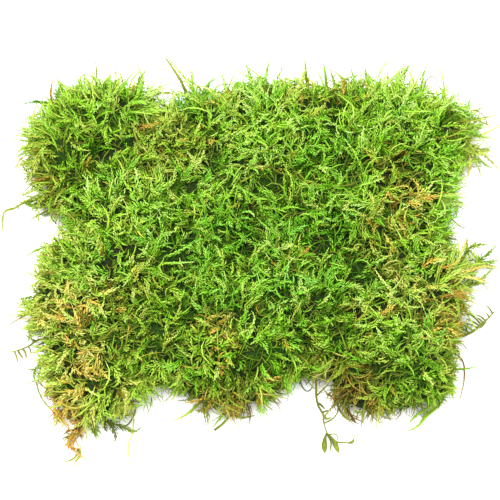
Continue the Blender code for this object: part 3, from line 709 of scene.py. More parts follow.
def surface_samples(points, faces, weights, count, chance):
    """Random points on a triangulated surface, denser where the weights are larger, and its normals there."""
    a, b, c = points[faces[:, 0]], points[faces[:, 1]], points[faces[:, 2]]
    cross = np.cross(b - a, c - a)
    area = np.linalg.norm(cross, axis=1) * weights
    chosen = chance.choice(len(faces), count, p=area / area.sum())
    u, v = chance.random((2, count))
    u, v = np.where(u + v > 1, 1 - u, u)[:, None], np.where(u + v > 1, 1 - v, v)[:, None]
    return a[chosen] + u * (b - a)[chosen] + v * (c - a)[chosen], unit(cross[chosen])


def tufts(plan):
    """How much the shoots crowd into tufts: about 1 in the middle of a tuft and -1 between tufts."""
    young = [(x, y, 4.5, 0.7) for x, y in BRIGHT_TUFTS]
    return 0.8 * waves(plan, size=15.0, seed=41, count=9) + patch_sum(young, plan)


def gaps(plan):
    """How near each point is to the middle of a gap between the tufts, from 0 to 1."""
    return np.clip(patch_sum([(*gap, 1.0) for gap in GAPS], plan), 0, 1)


def nap(plan):
    """The direction in which the shoots lie over: from the middle of the nearest tuft, and not into a gap."""
    slope = np.stack([tufts(plan - d) - tufts(plan + d) for d in 0.5 * np.eye(2)], 1)
    slope /= 0.15 + np.linalg.norm(slope, axis=1, keepdims=True)
    for x, y, spread in GAPS:
        away = plan - (x, y)
        far = np.linalg.norm(away, axis=1, keepdims=True)
        slope += GAP_PUSH * away / (far + 0.5) * np.exp(-((far / (GAP_REACH * spread)) ** 2))
    return slope


class Core:
    """The matted core that the shoots grow on: its closed mesh, and where on it they stand."""

    def __init__(self, sizes):
        self.sizes, sheet = sizes, Sheet(sizes)
        self.outline = smooth_loop(inset_loop(sheet.outline, CORE_INSET * sizes.core_depth), RING_SPACING)
        rows = [inset_loop(self.outline, inset) for inset in CORE_ROWS]
        inner = scattered_points(self.outline, CORE_SPACING, CORE_MARGIN, random.Random(3))
        plan, self.faces = triangulate(self.outline, np.concatenate([*rows, inner]))
        self.points = np.column_stack([plan, sheet.top(plan, self.outline, sizes.core_depth)])
        rim = nearest_on(self.outline, plan)[0]
        lumps = sum(height * waves(self.points, size, seed) for size, seed, height in CORE_LUMPS)
        self.points[:, 2] += lumps * np.clip(rim / 6.0, 0, 1)

    def closed(self):
        """The core, closed by an underside that rises inwards and lies close to the thatch's top."""
        count = len(self.points)
        under = self.points.copy()
        rim = nearest_on(self.outline, under[:, :2])[0]
        edge = rim < 0.01
        lowest, highest = CORE_UNDERSIDE
        heights = np.clip(lowest + CORE_UNDERSIDE_SLOPE * rim, lowest, highest)
        under[:, 2] = np.where(edge, under[:, 2], heights)
        lowered = np.cumsum(~edge) - 1 + count
        index = np.where(edge, np.arange(count), lowered)
        points = np.concatenate([self.points, under[~edge]])
        return points, np.concatenate([self.faces, index[self.faces][:, ::-1]])

    def sites(self, count, seed, edge_growth, tufted=1.0):
        """Roots, denser in tufts and at the edge, their normals, distances from the rim and ways outwards."""
        chance = np.random.default_rng(seed)
        middle = self.points[self.faces].mean(1)
        rim = nearest_on(self.outline, middle[:, :2])[0]
        crowding = np.clip(1 + tufted * self.sizes.tufting * tufts(middle[:, :2]), 0.12, 3)
        crowding *= 1 - 0.85 * tufted * gaps(middle[:, :2])
        weights = crowding * (1 + edge_growth * np.exp(-rim / 6))
        roots, normals = surface_samples(self.points, self.faces, weights, count, chance)
        rim, outward = nearest_on(self.outline, roots[:, :2])
        return roots, normals, rim, outward, chance


def shoot_headings(roots, normals, rim, outward, chance, rises):
    """Directions in which shoots start: along the nap inside, and out and down over the torn edge.

    Inside they rise by an angle in the range of the rises, in degrees.
    """
    count, plan = len(roots), roots[:, :2]
    lie = math.pi * waves(plan, size=50.0, seed=11) * 1.2
    flat = 0.5 * np.stack([np.cos(lie), np.sin(lie)], 1) + nap(plan)
    flat = unit(flat + chance.normal(0, 0.65, (count, 2)))
    edge = edge_share(rim)[:, None]
    swirl = 0.7 * waves(plan, size=15.0, seed=12) + chance.normal(0, 0.5, count)
    side = np.stack([-outward[:, 1], outward[:, 0]], 1)
    spread = outward * np.cos(swirl)[:, None] + side * np.sin(swirl)[:, None]
    flat = unit((1 - edge) * flat + edge * spread * 1.4)
    rise = np.radians(chance.uniform(*rises, count))
    drop = np.clip(1 - (roots[:, 2] - 5.0) / 12.0, 0, 1) * np.radians(28) * edge[:, 0]
    rise = rise * (1 - 0.45 * edge[:, 0]) - drop
    heading = np.column_stack([flat * np.cos(rise)[:, None], np.sin(rise)])
    return unit(heading + 0.25 * normals)


def shoot_tints(plan, chance, scatter=0.17):
    """Tone (dark to light), dryness, rust and coolness of shoots that stand at these places."""
    count = len(plan)
    tone = 0.5 + patch_sum(FRESH_AND_SHADE_PATCHES, plan) + 0.2 * tufts(plan) + chance.normal(0, scatter, count)
    # Painted shade: shoots in the gaps between the tufts are darker.
    tone -= 0.35 * gaps(plan)
    dry = 0.04 + patch_sum(DRY_PATCHES, plan) + 0.18 * waves(plan, size=18.0, seed=22)
    dry += chance.normal(0, 0.2, count)
    rusty = patch_sum(DRY_PATCHES, plan, column=4)
    rust = np.where(chance.random(count) < 0.5 * rusty + 0.015, chance.uniform(0.3, 0.95, count), 0.0)
    cool = 0.55 * chance.random(count) ** 2 + 0.3 * waves(plan, size=30.0, seed=23)
    cool += patch_sum([COOL_MIDDLE], plan)
    return {"tone": np.clip(tone, 0, 1), "dry": np.clip(dry, 0, 1), "rust": rust, "cool": np.clip(cool, 0, 1)}


# --- the loose shoots at the torn edge ---

FEATHER, COMB, ROUND = math.pi, 0.0, 2.39996  # turn about the stem from one leaf to the next, in radians
TAPER = ([0, 0.7, 1], [1.0, 0.85, 0.45])  # a stem's thickness along it
BUD = ([0, 0.25, 0.6, 0.85, 1], [0.35, 0.45, 1.0, 0.8, 0.1])  # and that of a club of folded leaves

# Tone (dark to light), dryness and rust.
GREEN, OLIVE, STRAW, PALE = (0.3, 0.3, 0.0), (0.18, 0.6, 0.15), (0.28, 0.8, 0.2), (0.55, 1.0, 0.0)
ORANGE, RED, DARK, YELLOW = (0.6, 0.7, 1.0), (0.2, 0.4, 0.9), (0.03, 0.4, 0.15), (0.42, 0.6, 0.0)
PINK, BLACKISH, BROWNISH, DUSKY = (0.8, 0.9, 0.9), (0.0, 0.7, 0.4), (0.1, 0.7, 0.15), (0.06, 0.6, 0.15)
LIGHT_GREEN, YOUNG = (0.5, 0.4, 0.0), (0.45, 0.35, 0.0)


def twig(route, girth, tint=OLIVE, reach=0.0, fan=FEATHER, roll=0.0, lean=0.8, bud=False):
    """One stem of a loose shoot, with leaves if their reach isn't 0. Angles are in radians."""
    return {"route": route, "girth": girth, "tint": tint, "reach": reach, "fan": fan, "roll": roll,
            "lean": lean, "bud": bud}


def tangle(route, count, spread, seed, tints, stray=0.0):
    """Fine dead stems that wind round a route, matted together; their ends may stray from it."""
    chance = np.random.default_rng(seed)
    line = smooth_route(route, 40)
    twigs = []
    for _ in range(count):
        first = int(chance.integers(0, 28))
        part = line[first:first + int(chance.integers(8, 20)):2]
        swing = chance.uniform(0, 6.28) + np.linspace(0, chance.uniform(-9, 9), len(part))
        size = spread * chance.uniform(0.25, 1.0)
        points = part + size * np.column_stack([np.cos(swing), np.sin(swing), 0.7 * np.sin(1.4 * swing)])
        points += chance.normal(0, 0.25 * spread, points.shape)
        side, bend = chance.uniform(0, 6.28), chance.uniform(-2.5, 2.5)
        away = side + bend * np.linspace(0, 1, len(part))
        drift = stray * chance.uniform(0.2, 1.0) * np.linspace(0, 1, len(part)) ** 1.6
        points[:, :2] += drift[:, None] * np.column_stack([np.cos(away), np.sin(away)])
        points[:, 2] = np.maximum(points[:, 2], 0.5)
        tone, dry, rust = tints[int(chance.integers(len(tints)))]
        shown = (tone * chance.uniform(0.5, 1.5), dry, rust)
        girth = chance.uniform(0.2, 0.36)
        reach = 1.7 if chance.random() < 0.6 else 0.0
        twigs.append(twig(points, girth, shown, reach, ROUND))
    return twigs


# Each loose shoot: the CAD node that it dresses, the node's finish, the spacing of its leaves and its stems.
LOOSE_SHOOTS = [
    ("runner_left", "olive_stem", 0.9, [
        twig([(-96.5, 19.5, 8), (-103, 22.5, 5), (-107.5, 23.5, 4), (-114.5, 22.5, 2.6), (-118, 20, 2.2),
              (-123.5, 18.5, 1.8), (-124.5, 15, 1.6), (-124.6, 11.5, 1.4), (-124, 7.5, 1.2)],
             0.65, OLIVE, 2.4),
        twig([(-105.5, 23.5, 4), (-110, 21, 3), (-114, 22.5, 2.6)], 0.9, GREEN, bud=True),
        twig([(-94, 17, 9), (-100, 19.5, 6), (-107, 21, 4)], 0.6, OLIVE, 3.0),
        twig([(-96.5, 17, 7), (-99, 16.5, 6), (-103.5, 16.5, 4), (-109, 14.5, 2), (-111, 13, 1.5)],
             0.5, OLIVE, 1.6)]),
    ("blade_left", "living_moss", 0.8, [
        twig([(-94, -1, 8), (-100, -2.5, 6), (-106, -4, 4.5), (-111, -6.5, 3)], 0.6, GREEN, 2.6)]),
    ("red_stalk_left", "red_brown_stalk", 0.8, [
        twig([(-100, -35, 9), (-105.5, -37, 6), (-112, -39.5, 4), (-120, -44, 1.5)], 0.42, RED)]),
    ("comb_shoot_left", "olive_stem", 1.3, [
        twig([(-92.5, -51, 8), (-97.5, -50, 5), (-103.5, -51, 3.4), (-107.5, -53.5, 2.4), (-114.5, -56, 1.8),
              (-117.5, -55.5, 1.8)], 0.52, OLIVE, 1.5),
        twig([(-103, -51, 3.4), (-106, -50, 3), (-110, -47, 2.4)], 0.35, DARK),
        twig([(-114, -56, 1.8), (-113, -58.5, 1.6), (-112, -62, 1.3)], 0.5, STRAW),
        twig([(-112.5, -55, 2), (-111.5, -57, 1.7), (-109.5, -59.5, 1.4)], 0.55, OLIVE),
        twig([(-110.5, -54.5, 2.2), (-109, -56, 1.8), (-108.2, -59.5, 1.4)], 0.55, STRAW),
        twig([(-107.5, -53.5, 2.4), (-106.5, -55, 2), (-106, -57.5, 1.6)], 0.35, OLIVE)]),
    ("curved_stem_front_left", "olive_stem", 1.0, [
        twig([(-97.5, -60, 8), (-100, -63, 5), (-101.5, -68.5, 2.2), (-101.5, -71, 1.8), (-98, -74.5, 1.8)],
             0.55, DARK),
        twig([(-99.5, -62.5, 5.4), (-103, -64.5, 3), (-104, -68, 2.4), (-103, -71.5, 2)], 0.5, GREEN, 2.4),
        twig([(-100.5, -67.5, 2.4), (-98.5, -68.5, 2.4), (-97, -71.5, 2)], 0.6, DARK, bud=True),
        twig([(-98, -73.5, 2), (-97, -76, 1.9), (-98.5, -78.5, 1.7)], 1.0, OLIVE, bud=True),
        twig([(-102.5, -70.5, 2), (-105.5, -71.5, 1.8), (-108.5, -73.5, 1.5)], 0.3, OLIVE),
        twig([(-104, -65, 2.6), (-106.5, -65, 2.2), (-108, -64.5, 2)], 0.35, OLIVE),
        twig([(-102.5, -71, 1.8), (-102, -74, 1.6), (-100, -78.5, 1.6), (-97.5, -82, 1.6), (-94.5, -85, 1.6),
              (-91.5, -87, 1.6)], 0.42, STRAW),
        twig([(-93, -86, 1.6), (-95, -88, 1.4), (-97, -89.5, 1.2)], 0.3, DARK)]),
    ("straw_shoot_front_left", "straw_moss", 0.8, [
        *tangle([(-94, -72, 8), (-91, -79, 5), (-85, -85, 4), (-80, -91, 3)],
                count=30, spread=3.6, seed=5, tints=[RED, ORANGE, PINK], stray=5),
        *tangle([(-80, -85, 4.5), (-80.5, -89.5, 3), (-81, -93, 2.6), (-81.5, -96, 2.4), (-83.5, -98.5, 2.2),
                 (-84.5, -101, 2), (-83, -103, 1.8), (-80.5, -105.5, 1.6)],
                count=24, spread=1.5, seed=6, tints=[PINK, ORANGE, PINK, RED, STRAW], stray=6.5),
        *tangle([(-95, -80, 5), (-92, -87, 3), (-87, -94, 2)],
                count=11, spread=2.0, seed=7, tints=[PINK, PINK, PALE], stray=6),
        twig([(-78.5, -78, 8), (-78.5, -83, 5), (-77.5, -87, 3.6), (-79, -90, 2.8), (-81, -93, 2.6)],
             0.6, OLIVE, 2.0),
        twig([(-84.5, -99.5, 2), (-86, -101, 1.8), (-88, -103.5, 1.5)], 0.45, ORANGE, 1.0),
        twig([(-85, -98, 2), (-87.5, -98.5, 1.8), (-89, -99.5, 1.4)], 0.4, DARK),
        twig([(-84, -98, 2), (-86, -96.5, 2), (-88, -96, 1.7)], 0.3, STRAW),
        twig([(-81, -104, 1.7), (-82, -107.5, 1.5), (-85, -109.5, 1.3), (-88, -110, 1.2)], 0.5, OLIVE, 0.8),
        twig([(-80.5, -104, 1.7), (-80, -107, 1.6), (-82, -110, 1.4), (-82.5, -112, 1.2)], 0.6, STRAW, 1.0),
        twig([(-79.5, -93.5, 2.2), (-77.5, -97, 1.8), (-77.5, -101, 1.5)], 0.28, GREEN),
        twig([(-72, -90, 5), (-73, -91.5, 3.4), (-75.5, -93, 2.6), (-78.5, -94.5, 2.2)], 0.5, DARK),
        twig([(-74, -92, 3), (-73.5, -95, 2.4), (-71.5, -98.5, 1.5)], 0.5, GREEN, 1.8),
        twig([(-75.5, -94, 2.4), (-73.5, -97, 2), (-72.5, -99.5, 1.6)], 0.45, OLIVE, 1.6)]),
    ("dark_shoot_front_left", "living_moss", 0.7, [
        twig([(-73.5, -86, 8), (-71.5, -89.5, 5), (-69.5, -91, 4), (-63.5, -92.5, 3), (-57, -95, 2.4),
              (-54.5, -95.8, 2.2), (-51.5, -93.5, 2)], 0.6, DARK, 3.8),
        twig([(-67, -92, 3), (-64.5, -95, 2.4), (-63.5, -98, 2), (-64, -100.5, 1.6)], 0.5, DARK, 2.8),
        twig([(-69.5, -91.5, 3.4), (-68, -95.5, 2)], 0.45, DARK, 2.4),
        twig([(-76, -88, 6), (-74, -93, 3.4), (-70.5, -96.5, 2)], 0.5, OLIVE, 3.0),
        twig([(-60, -94, 2.6), (-57, -91.5, 2.8), (-55, -87.5, 3), (-54, -82.5, 3.4)], 0.42, DARK),
        twig([(-55, -88, 3), (-54, -84, 3.2), (-51, -83, 3.2)], 0.4, OLIVE),
        twig([(-70, -86, 7), (-66, -88, 6), (-62.5, -88.5, 5), (-59, -88.5, 4), (-54.5, -87, 3.4)],
             0.5, OLIVE, 3.0, lean=1.2),
        twig([(-68, -84, 7), (-62, -85, 5.4), (-57, -84.5, 4.4)], 0.5, YELLOW, 2.6)]),
    ("pale_hair_front_left", "straw_moss", 0.8, [
        twig([(-55, -90, 3), (-55.5, -95, 2.2), (-56, -98, 1.8), (-57.2, -100.5, 1.5), (-57.5, -104, 1.2),
              (-57, -108, 1.1), (-55.5, -113, 1)], 0.4, PALE)]),
    ("straw_blade_front", "straw_moss", 0.7, [
        twig([(-19, -78, 7), (-24, -82, 4), (-29.5, -87, 2.6), (-36, -90.5, 2)], 0.7, YELLOW, 3.2, lean=0.4),
        *tangle([(-16, -80, 6), (-20, -84, 4), (-24, -86, 3)],
                count=10, spread=1.6, seed=8, tints=[ORANGE, STRAW])]),
    ("green_blade_front", "living_moss", 0.7, [
        twig([(-3, -80, 7), (-10, -84.5, 4), (-14, -89, 2.4), (-17.5, -93.5, 2)], 0.6, GREEN, 2.2, lean=0.5),
        twig([(-17, -95, 1.8), (-13, -92, 2), (-9, -88, 2.4), (-4, -89, 2.2), (2, -88, 2)],
             0.6, OLIVE, 1.6)]),
    ("trailing_stem_front", "olive_stem", 0.8, [
        twig([(30, -64, 10), (31.5, -72, 8), (31.5, -78, 5), (31.8, -80.5, 3.4), (33, -84.5, 2.2),
              (34.8, -87, 2), (35, -91.5, 1.8), (36, -95, 1.8), (37, -97.5, 1.8)], 0.62, BLACKISH, 0.9),
        twig([(24, -68, 9), (24.5, -73, 4), (27, -76, 2.4), (29.2, -75, 2.6), (30.4, -72, 4)], 0.4, DARK),
        twig([(31.6, -79, 4.6), (34, -76.6, 4.4), (38, -73, 7)], 0.45, OLIVE),
        twig([(32.2, -82, 3.1), (34, -83, 2.8), (35.6, -84.8, 2.4)], 0.62, DARK),
        twig([(34.2, -86.4, 2.1), (35.6, -86, 2.2), (37.2, -85.2, 2.2)], 0.5, DARK),
        twig([(35, -88, 1.9), (36.5, -89.3, 1.9), (38.8, -88.8, 1.8)], 0.6, OLIVE),
        twig([(35.2, -91.6, 1.8), (38.5, -90, 1.8), (41, -87.5, 2), (42, -84.5, 3), (42, -80, 6)],
             0.4, OLIVE),
        twig([(36.5, -96, 1.8), (35.3, -100, 1.8), (35.2, -106, 1.7)], 1.5, DUSKY, 0.7, ROUND, bud=True),
        twig([(36.9, -97, 1.8), (38.3, -101, 1.6), (37.6, -105.5, 1.5)], 0.5, DARK),
        twig([(36.8, -96.8, 1.8), (39.5, -100, 1.8), (42, -106, 1.6)], 1.35, DUSKY, 0.7, ROUND, bud=True),
        twig([(37, -97, 1.8), (40.5, -97, 2.2), (41.5, -99, 2), (41, -100.5, 1.8)], 0.4, OLIVE),
        twig([(40, -100.6, 1.8), (44, -101, 1.8), (47, -101, 1.8), (48.5, -100, 1.8), (50, -96.5, 1.6)],
             0.44, OLIVE),
        twig([(45, -101, 1.8), (47.5, -101, 1.8), (49.5, -99.5, 1.8)], 0.8, OLIVE, bud=True)]),
    ("red_stalk_front", "red_brown_stalk", 0.9, [
        twig([(39.5, -79, 8), (42, -84, 3), (43.5, -86.5, 2), (45, -88.5, 1.6), (47.5, -90, 1.5),
              (49.5, -89, 1.5), (54, -91, 1.4)], 0.5, RED, 0.7),
        twig([(44, -80, 7), (46, -86, 3), (48.5, -87.5, 2), (52, -89, 1.8)], 0.4, RED),
        twig([(41.5, -77, 8), (40, -82.5, 4), (41, -86, 3)], 0.4, DARK)]),
    ("green_blade_front_right", "living_moss", 0.7, [
        twig([(92, -76, 8), (92, -81, 4.4), (89, -84.5, 3), (86, -87, 2.4), (83.5, -89, 2), (80, -93, 1.8),
              (75, -95.5, 1.5)], 0.5, LIGHT_GREEN, 4.2, COMB, 0.4, 0.7),
        twig([(92, -78, 6), (87.5, -82.5, 4), (82.5, -86, 3), (79, -88, 2.4), (76, -91, 1.9)],
             0.6, YOUNG, 3.0)]),
    ("feather_shoot_right", "olive_stem", 0.7, [
        twig([(93, -54, 8), (97, -51.5, 5.5), (100.6, -49.8, 3.8), (107.8, -46.4, 3), (111.2, -43.6, 2.6),
              (114.7, -40.5, 2.4), (117.3, -38.2, 2.2), (119.8, -35.2, 2.2)], 0.7, BROWNISH),
        *[twig(route, 0.46, OLIVE) for route in (
            [(118.6, -36.6, 2.2), (117.5, -34.2, 2.4), (115.5, -32.4, 2.2)],
            [(116.9, -38.5, 2.3), (116.3, -37.3, 2.3), (115.4, -36.1, 2.2)],
            [(114.9, -40.3, 2.4), (112.8, -38.4, 2.8), (110.3, -37.4, 3)],
            [(113.6, -41.4, 2.5), (112.3, -39.8, 2.6), (110.6, -38.8, 2.8)],
            [(112.6, -42.3, 2.6), (110.2, -39.6, 3.2), (107.2, -37.6, 4.2), (104.3, -36.3, 5)],
            [(111.8, -43, 2.6), (108.7, -41.2, 3.2), (105, -39.8, 4)],
            [(110.6, -44.1, 2.7), (107.9, -42.8, 3.2), (104.5, -42, 3.8)],
            [(115.4, -40, 2.3), (113.9, -42.4, 1.8), (111.9, -44, 1.6)])],
        *[twig(route, 0.5, tint, 2.8) for route, tint in (
            ([(108.5, -45.9, 2.9), (106, -43.9, 3.6), (102, -43, 4.8)], YELLOW),
            ([(106.5, -46.9, 3), (103.5, -45, 3.8), (99.5, -44.5, 5.2)], GREEN),
            ([(104.5, -48, 3.2), (101.5, -46.4, 4.2), (97.5, -46, 6)], YELLOW),
            ([(94, -51, 8), (99, -48.8, 5.4), (104.5, -47, 4)], OLIVE))]]),
    ("twig_right", "red_brown_stalk", 1.6, [
        twig([(94, -55, 7), (98, -57, 4), (103, -61, 1.6), (103, -70, 1.4), (100.5, -79.5, 1.4)],
             0.42, RED, 0.9)]),
    ("green_shoot_right", "living_moss", 0.9, [
        twig([(92, -67, 8), (97.5, -66.5, 7), (103.5, -66, 6.5), (109, -65, 6)], 0.42, GREEN, 2.2)]),
    ("tuft_shoot_right", "living_moss", 0.55, [
        twig([(98.5, -30, 9), (103.5, -25, 8), (107, -21, 7.6), (110, -16, 7), (112, -11, 6.6),
              (110, -6.5, 6.4), (107, -4, 6)], 0.6, YELLOW, 4.6, ROUND),
        twig([(109, -17, 7), (111, -13.5, 6.8), (114, -9.5, 6.4), (118, -6.5, 6), (122, -2, 5.2)],
             0.5, GREEN, 4.6, ROUND),
        twig([(108.5, -9, 6.4), (107.5, -4, 6.4), (108, 1.5, 6.4)], 0.45, STRAW, 1.8, ROUND),
        twig([(100.5, -26, 8), (106, -24, 7), (112, -21, 6.2), (115, -19, 5.8), (119.5, -14.5, 5.2)],
             0.55, YELLOW, 4.4, ROUND),
        twig([(106, -23, 6.4), (113, -22, 5), (117.5, -21, 4)], 0.35, OLIVE, 1.2),
        twig([(113, -11, 6), (118, -11, 5.6), (122.5, -9.5, 5)], 0.5, GREEN, 3.4),
        twig([(104, -12, 8.6), (107, -6, 8), (112, -2.5, 7.4), (118, -2, 6.4)], 0.5, YELLOW, 4.6, ROUND),
        twig([(113, -12, 6), (118, -13, 5.4), (122, -13.5, 4.8)], 0.4, STRAW, 3.0),
        twig([(100, -25, 8.8), (103, -19, 8), (106, -14, 7.6)], 0.6, GREEN, 3.6, ROUND)]),
    ("hooked_hair_right", "red_brown_stalk", 0.8, [
        twig([(94, 14, 10), (99.5, 12, 8), (106, 7.5, 6), (110.5, 10, 5)], 0.32, RED)]),
    ("hair_back_right", "red_brown_stalk", 0.8, [
        twig([(100, 64, 11), (106, 66, 12), (113.5, 69.5, 13.5), (119.5, 67, 11.5), (122.5, 61.5, 7)],
             0.36, RED)]),
    ("arched_hair_back_right", "olive_stem", 0.8, [
        twig([(86, 72, 13), (88, 77.5, 15), (90, 83, 20), (94, 85.5, 19.5), (98, 78, 17)], 0.36, OLIVE)]),
    ("green_blade_back_right", "living_moss", 0.7, [
        twig([(72, 76, 13), (74, 81, 14), (77.5, 85.5, 18.5), (81.5, 92, 19)], 0.7, GREEN, 4.2)]),
    ("spike_back_middle", "living_moss", 0.8, [
        twig([(30, 78, 13), (29.5, 84, 14), (28.5, 88, 19), (28, 94, 22)], 0.9, GREEN, 2.0, lean=0.3)]),
    ("spike_back_right", "living_moss", 0.8, [
        twig([(39, 77, 13), (39, 82.5, 14), (38.5, 87, 19), (37.5, 92, 21.5)], 0.9, GREEN, 2.0, lean=0.3)]),
    ("long_blade_back_left", "living_moss", 0.75, [
        twig([(-30, 71, 12), (-32, 76.5, 13), (-34.5, 82, 18), (-38.5, 88.5, 19.5), (-43.5, 97, 18.5)],
             0.8, OLIVE, 2.4, lean=0.5)]),
    ("green_blade_back_left", "living_moss", 0.8, [
        twig([(-59, 74, 13), (-58.5, 79, 14), (-56.5, 83.5, 18.5), (-53.5, 89, 19.5)], 0.6, GREEN, 3.6)]),
    ("curled_hair_back_left", "red_brown_stalk", 0.8, [
        twig([(-63, 75, 13), (-64.5, 81, 14), (-66, 86, 20), (-70.5, 88.5, 19)], 0.34, RED)]),
    ("hair_back_left", "olive_stem", 0.8, [
        twig([(-78, 78, 13), (-79, 84, 15), (-78.5, 88.5, 20), (-79, 95, 23)], 0.45, OLIVE, 1.2)]),
    ("hair_corner_left", "red_brown_stalk", 0.8, [
        twig([(-96, 69, 11), (-101, 74, 12), (-102, 79.5, 15.5), (-100.5, 85.5, 18)], 0.6, RED, 1.8)]),
]


# --- materials ---


def shader_group(name, inputs, outputs):
    """An empty shader node group with these sockets, its inner sheet, and its inputs by name."""
    tree = bpy.data.node_groups.new(name, "ShaderNodeTree")
    for socket, kind, value in inputs:
        made = tree.interface.new_socket(socket, in_out="INPUT", socket_type=kind)
        made.default_value = value
    for socket, kind in outputs:
        tree.interface.new_socket(socket, in_out="OUTPUT", socket_type=kind)
    n = NodeSheet(tree)
    return tree, n, n.add("NodeGroupInput").outputs


def mottle_group():
    """Uneven growth, from fine flecks to broad patches, read from the piece's own place in space."""
    tree, n, given = shader_group(
        "plant_mottle",
        [("Fleck Scale", "NodeSocketFloat", 700.0), ("Patch Scale", "NodeSocketFloat", 60.0)],
        [("Flecks", "NodeSocketFloat"), ("Patches", "NodeSocketFloat"), ("Ribs", "NodeSocketFloat")])
    place = n.add("ShaderNodeTexCoord").outputs["Object"]
    flecks = n.add("ShaderNodeTexNoise", vector=place, scale=given["Fleck Scale"], detail=2.0).outputs[0]
    patches = n.add("ShaderNodeTexNoise", vector=place, scale=given["Patch Scale"], detail=2.0).outputs[0]
    fine = n.math("MULTIPLY", given["Fleck Scale"], 2.6)
    ribs = n.add("ShaderNodeTexNoise", vector=place, scale=fine, detail=1.0).outputs[0]
    end = n.add("NodeGroupOutput")
    for i, value in enumerate((flecks, patches, ribs)):
        n.feed(end, i, value)
    return tree


def ramp(n, factor, stops):
    """A colour ramp through the stops, each a position and a colour."""
    node = n.add("ShaderNodeValToRGB")
    n.feed(node, 0, factor)
    marks = node.color_ramp.elements
    while len(marks) < len(stops):
        marks.new(0.5)
    for mark, (position, colour) in zip(marks, stops):
        mark.position, mark.color = position, (*colour, 1.0)
    return node.outputs[0]


def mixed_colour(n, factor, first, second):
    node = n.add("ShaderNodeMix", {"data_type": "RGBA"})
    live = [s for s in node.inputs if s.enabled]
    n.feed(node, 0, factor)
    for socket, value in zip(live[1:], (first, second)):
        if isinstance(value, bpy.types.NodeSocket):
            n.tree.links.new(value, socket)
        else:
            socket.default_value = (*value, 1.0)
    return [s for s in node.outputs if s.enabled][0]


def shade(n, name):
    return n.add("ShaderNodeAttribute", {"attribute_name": name, "attribute_type": "GEOMETRY"}).outputs["Fac"]


def shader_sheet(name, roughness, specular=0.35):
    material = bpy.data.materials.new(name)
    material.use_nodes = True
    n = NodeSheet(material.node_tree)
    shader = material.node_tree.nodes["Principled BSDF"]
    shader.inputs["Roughness"].default_value = roughness
    shader.inputs["Specular IOR Level"].default_value = specular
    return material, n, shader


def bump(n, height, strength, distance):
    node = n.add("ShaderNodeBump", height=height)
    node.inputs["Strength"].default_value = strength
    node.inputs["Distance"].default_value = distance
    return node.outputs[0]


# How light a leaf's colour is painted, share by share: its shoot's tone, which carries painted shade in the
# hollows and gaps; darker at the foot of its shoot and lighter to its tip, which is painted shade deep in the
# mat and painted glow of the translucent tips, as well as the older leaves' darker green; painted light by
# height and at the open side; lighter towards each leaf's own tip; and a random share for each leaf.
LEAF_LIGHT = {"tone": 0.62, "along": 0.2, "painted_light": 0.24, "leaf_t": 0.1, "spread": 0.05}  # share of each
LEAF_DARKNESS = -0.38  # what a leaf starts from, before those shares, the flecks and the patches


def darker(colour, factor):
    return [factor * c for c in colour]


def leaf_material(colours, mottle):
    """Living moss: dark at the foot of each shoot and bright at its tip, drying to olive, straw and rust."""
    material, n, shader = shader_sheet("living_moss", 0.6, 0.05)
    flecks, patches, ribs = n.add("ShaderNodeGroup", {"node_tree": mottle}).outputs[:3]
    light = LEAF_DARKNESS
    for name, share in LEAF_LIGHT.items():
        light = n.math("MULTIPLY_ADD", shade(n, name), share, light)
    light = n.math("MULTIPLY_ADD", flecks, 0.2, light)
    light = n.math("MULTIPLY_ADD", patches, 0.3, light)

    # The ramps below turn that lightness into shaded and lit copies of each colour: painted shade and painted
    # light, as well as the moss's own darker and paler tones.
    green = ramp(n, light, [(0.14, colours.deep), (0.42, colours.middle), (0.7, colours.bright),
                            (1.0, colours.tip)])
    shady = [c * k for c, k in zip(colours.deep, (0.6, 0.8, 2.0))]
    cool_middle, cool_bright = ([c * k for c, k in zip(colour, (0.52, 0.9, 1.9))]
                                for colour in (colours.middle, colours.bright))
    cooler = ramp(n, light, [(0.14, shady), (0.42, cool_middle), (0.7, cool_bright), (1.0, colours.tip)])
    green = mixed_colour(n, n.math("MULTIPLY", shade(n, "cool"), 0.68), green, cooler)

    pale = [min(1.0, 1.15 * c) for c in colours.straw]
    dried = ramp(n, light, [(0.08, darker(colours.olive, 0.4)), (0.38, colours.olive), (0.75, colours.straw),
                            (1.0, pale)])
    foot = n.math("MULTIPLY", n.math("SUBTRACT", 1.0, shade(n, "along")), 0.25)
    dryness = n.math("ADD", shade(n, "dry"), n.math("MULTIPLY", foot, patches))
    colour = mixed_colour(n, n.add("ShaderNodeClamp", value=dryness).outputs[0], green, dried)

    rusted = ramp(n, light, [(0.1, darker(colours.rust, 0.25)), (0.45, colours.rust), (0.75, colours.orange),
                             (1.0, colours.straw)])
    colour = mixed_colour(n, n.math("MULTIPLY", shade(n, "rust"), 0.85), colour, rusted)
    n.feed(shader, "Base Color", colour)
    n.feed(shader, "Normal", bump(n, ribs, 0.35, 0.4 * MM))
    return material


def stem_material(name, colours, mottle, base, pale):
    """A bare or thin stem: brown or olive, paler in streaks."""
    material, n, shader = shader_sheet(name, 0.5, 0.4)
    flecks, _, ribs = n.add("ShaderNodeGroup", {"node_tree": mottle}).outputs[:3]
    light = n.math("MULTIPLY_ADD", shade(n, "tone"), 0.5, n.math("MULTIPLY_ADD", flecks, 0.5, -0.05))
    light = n.math("MULTIPLY_ADD", shade(n, "along"), 0.2, light)
    colour = ramp(n, light, [(0.15, darker(base, 0.35)), (0.5, base), (0.95, pale)])
    colour = mixed_colour(n, n.math("MULTIPLY", shade(n, "rust"), 0.7), colour, colours.rust)
    n.feed(shader, "Base Color", colour)
    n.feed(shader, "Normal", bump(n, ribs, 0.3, 0.3 * MM))
    return material


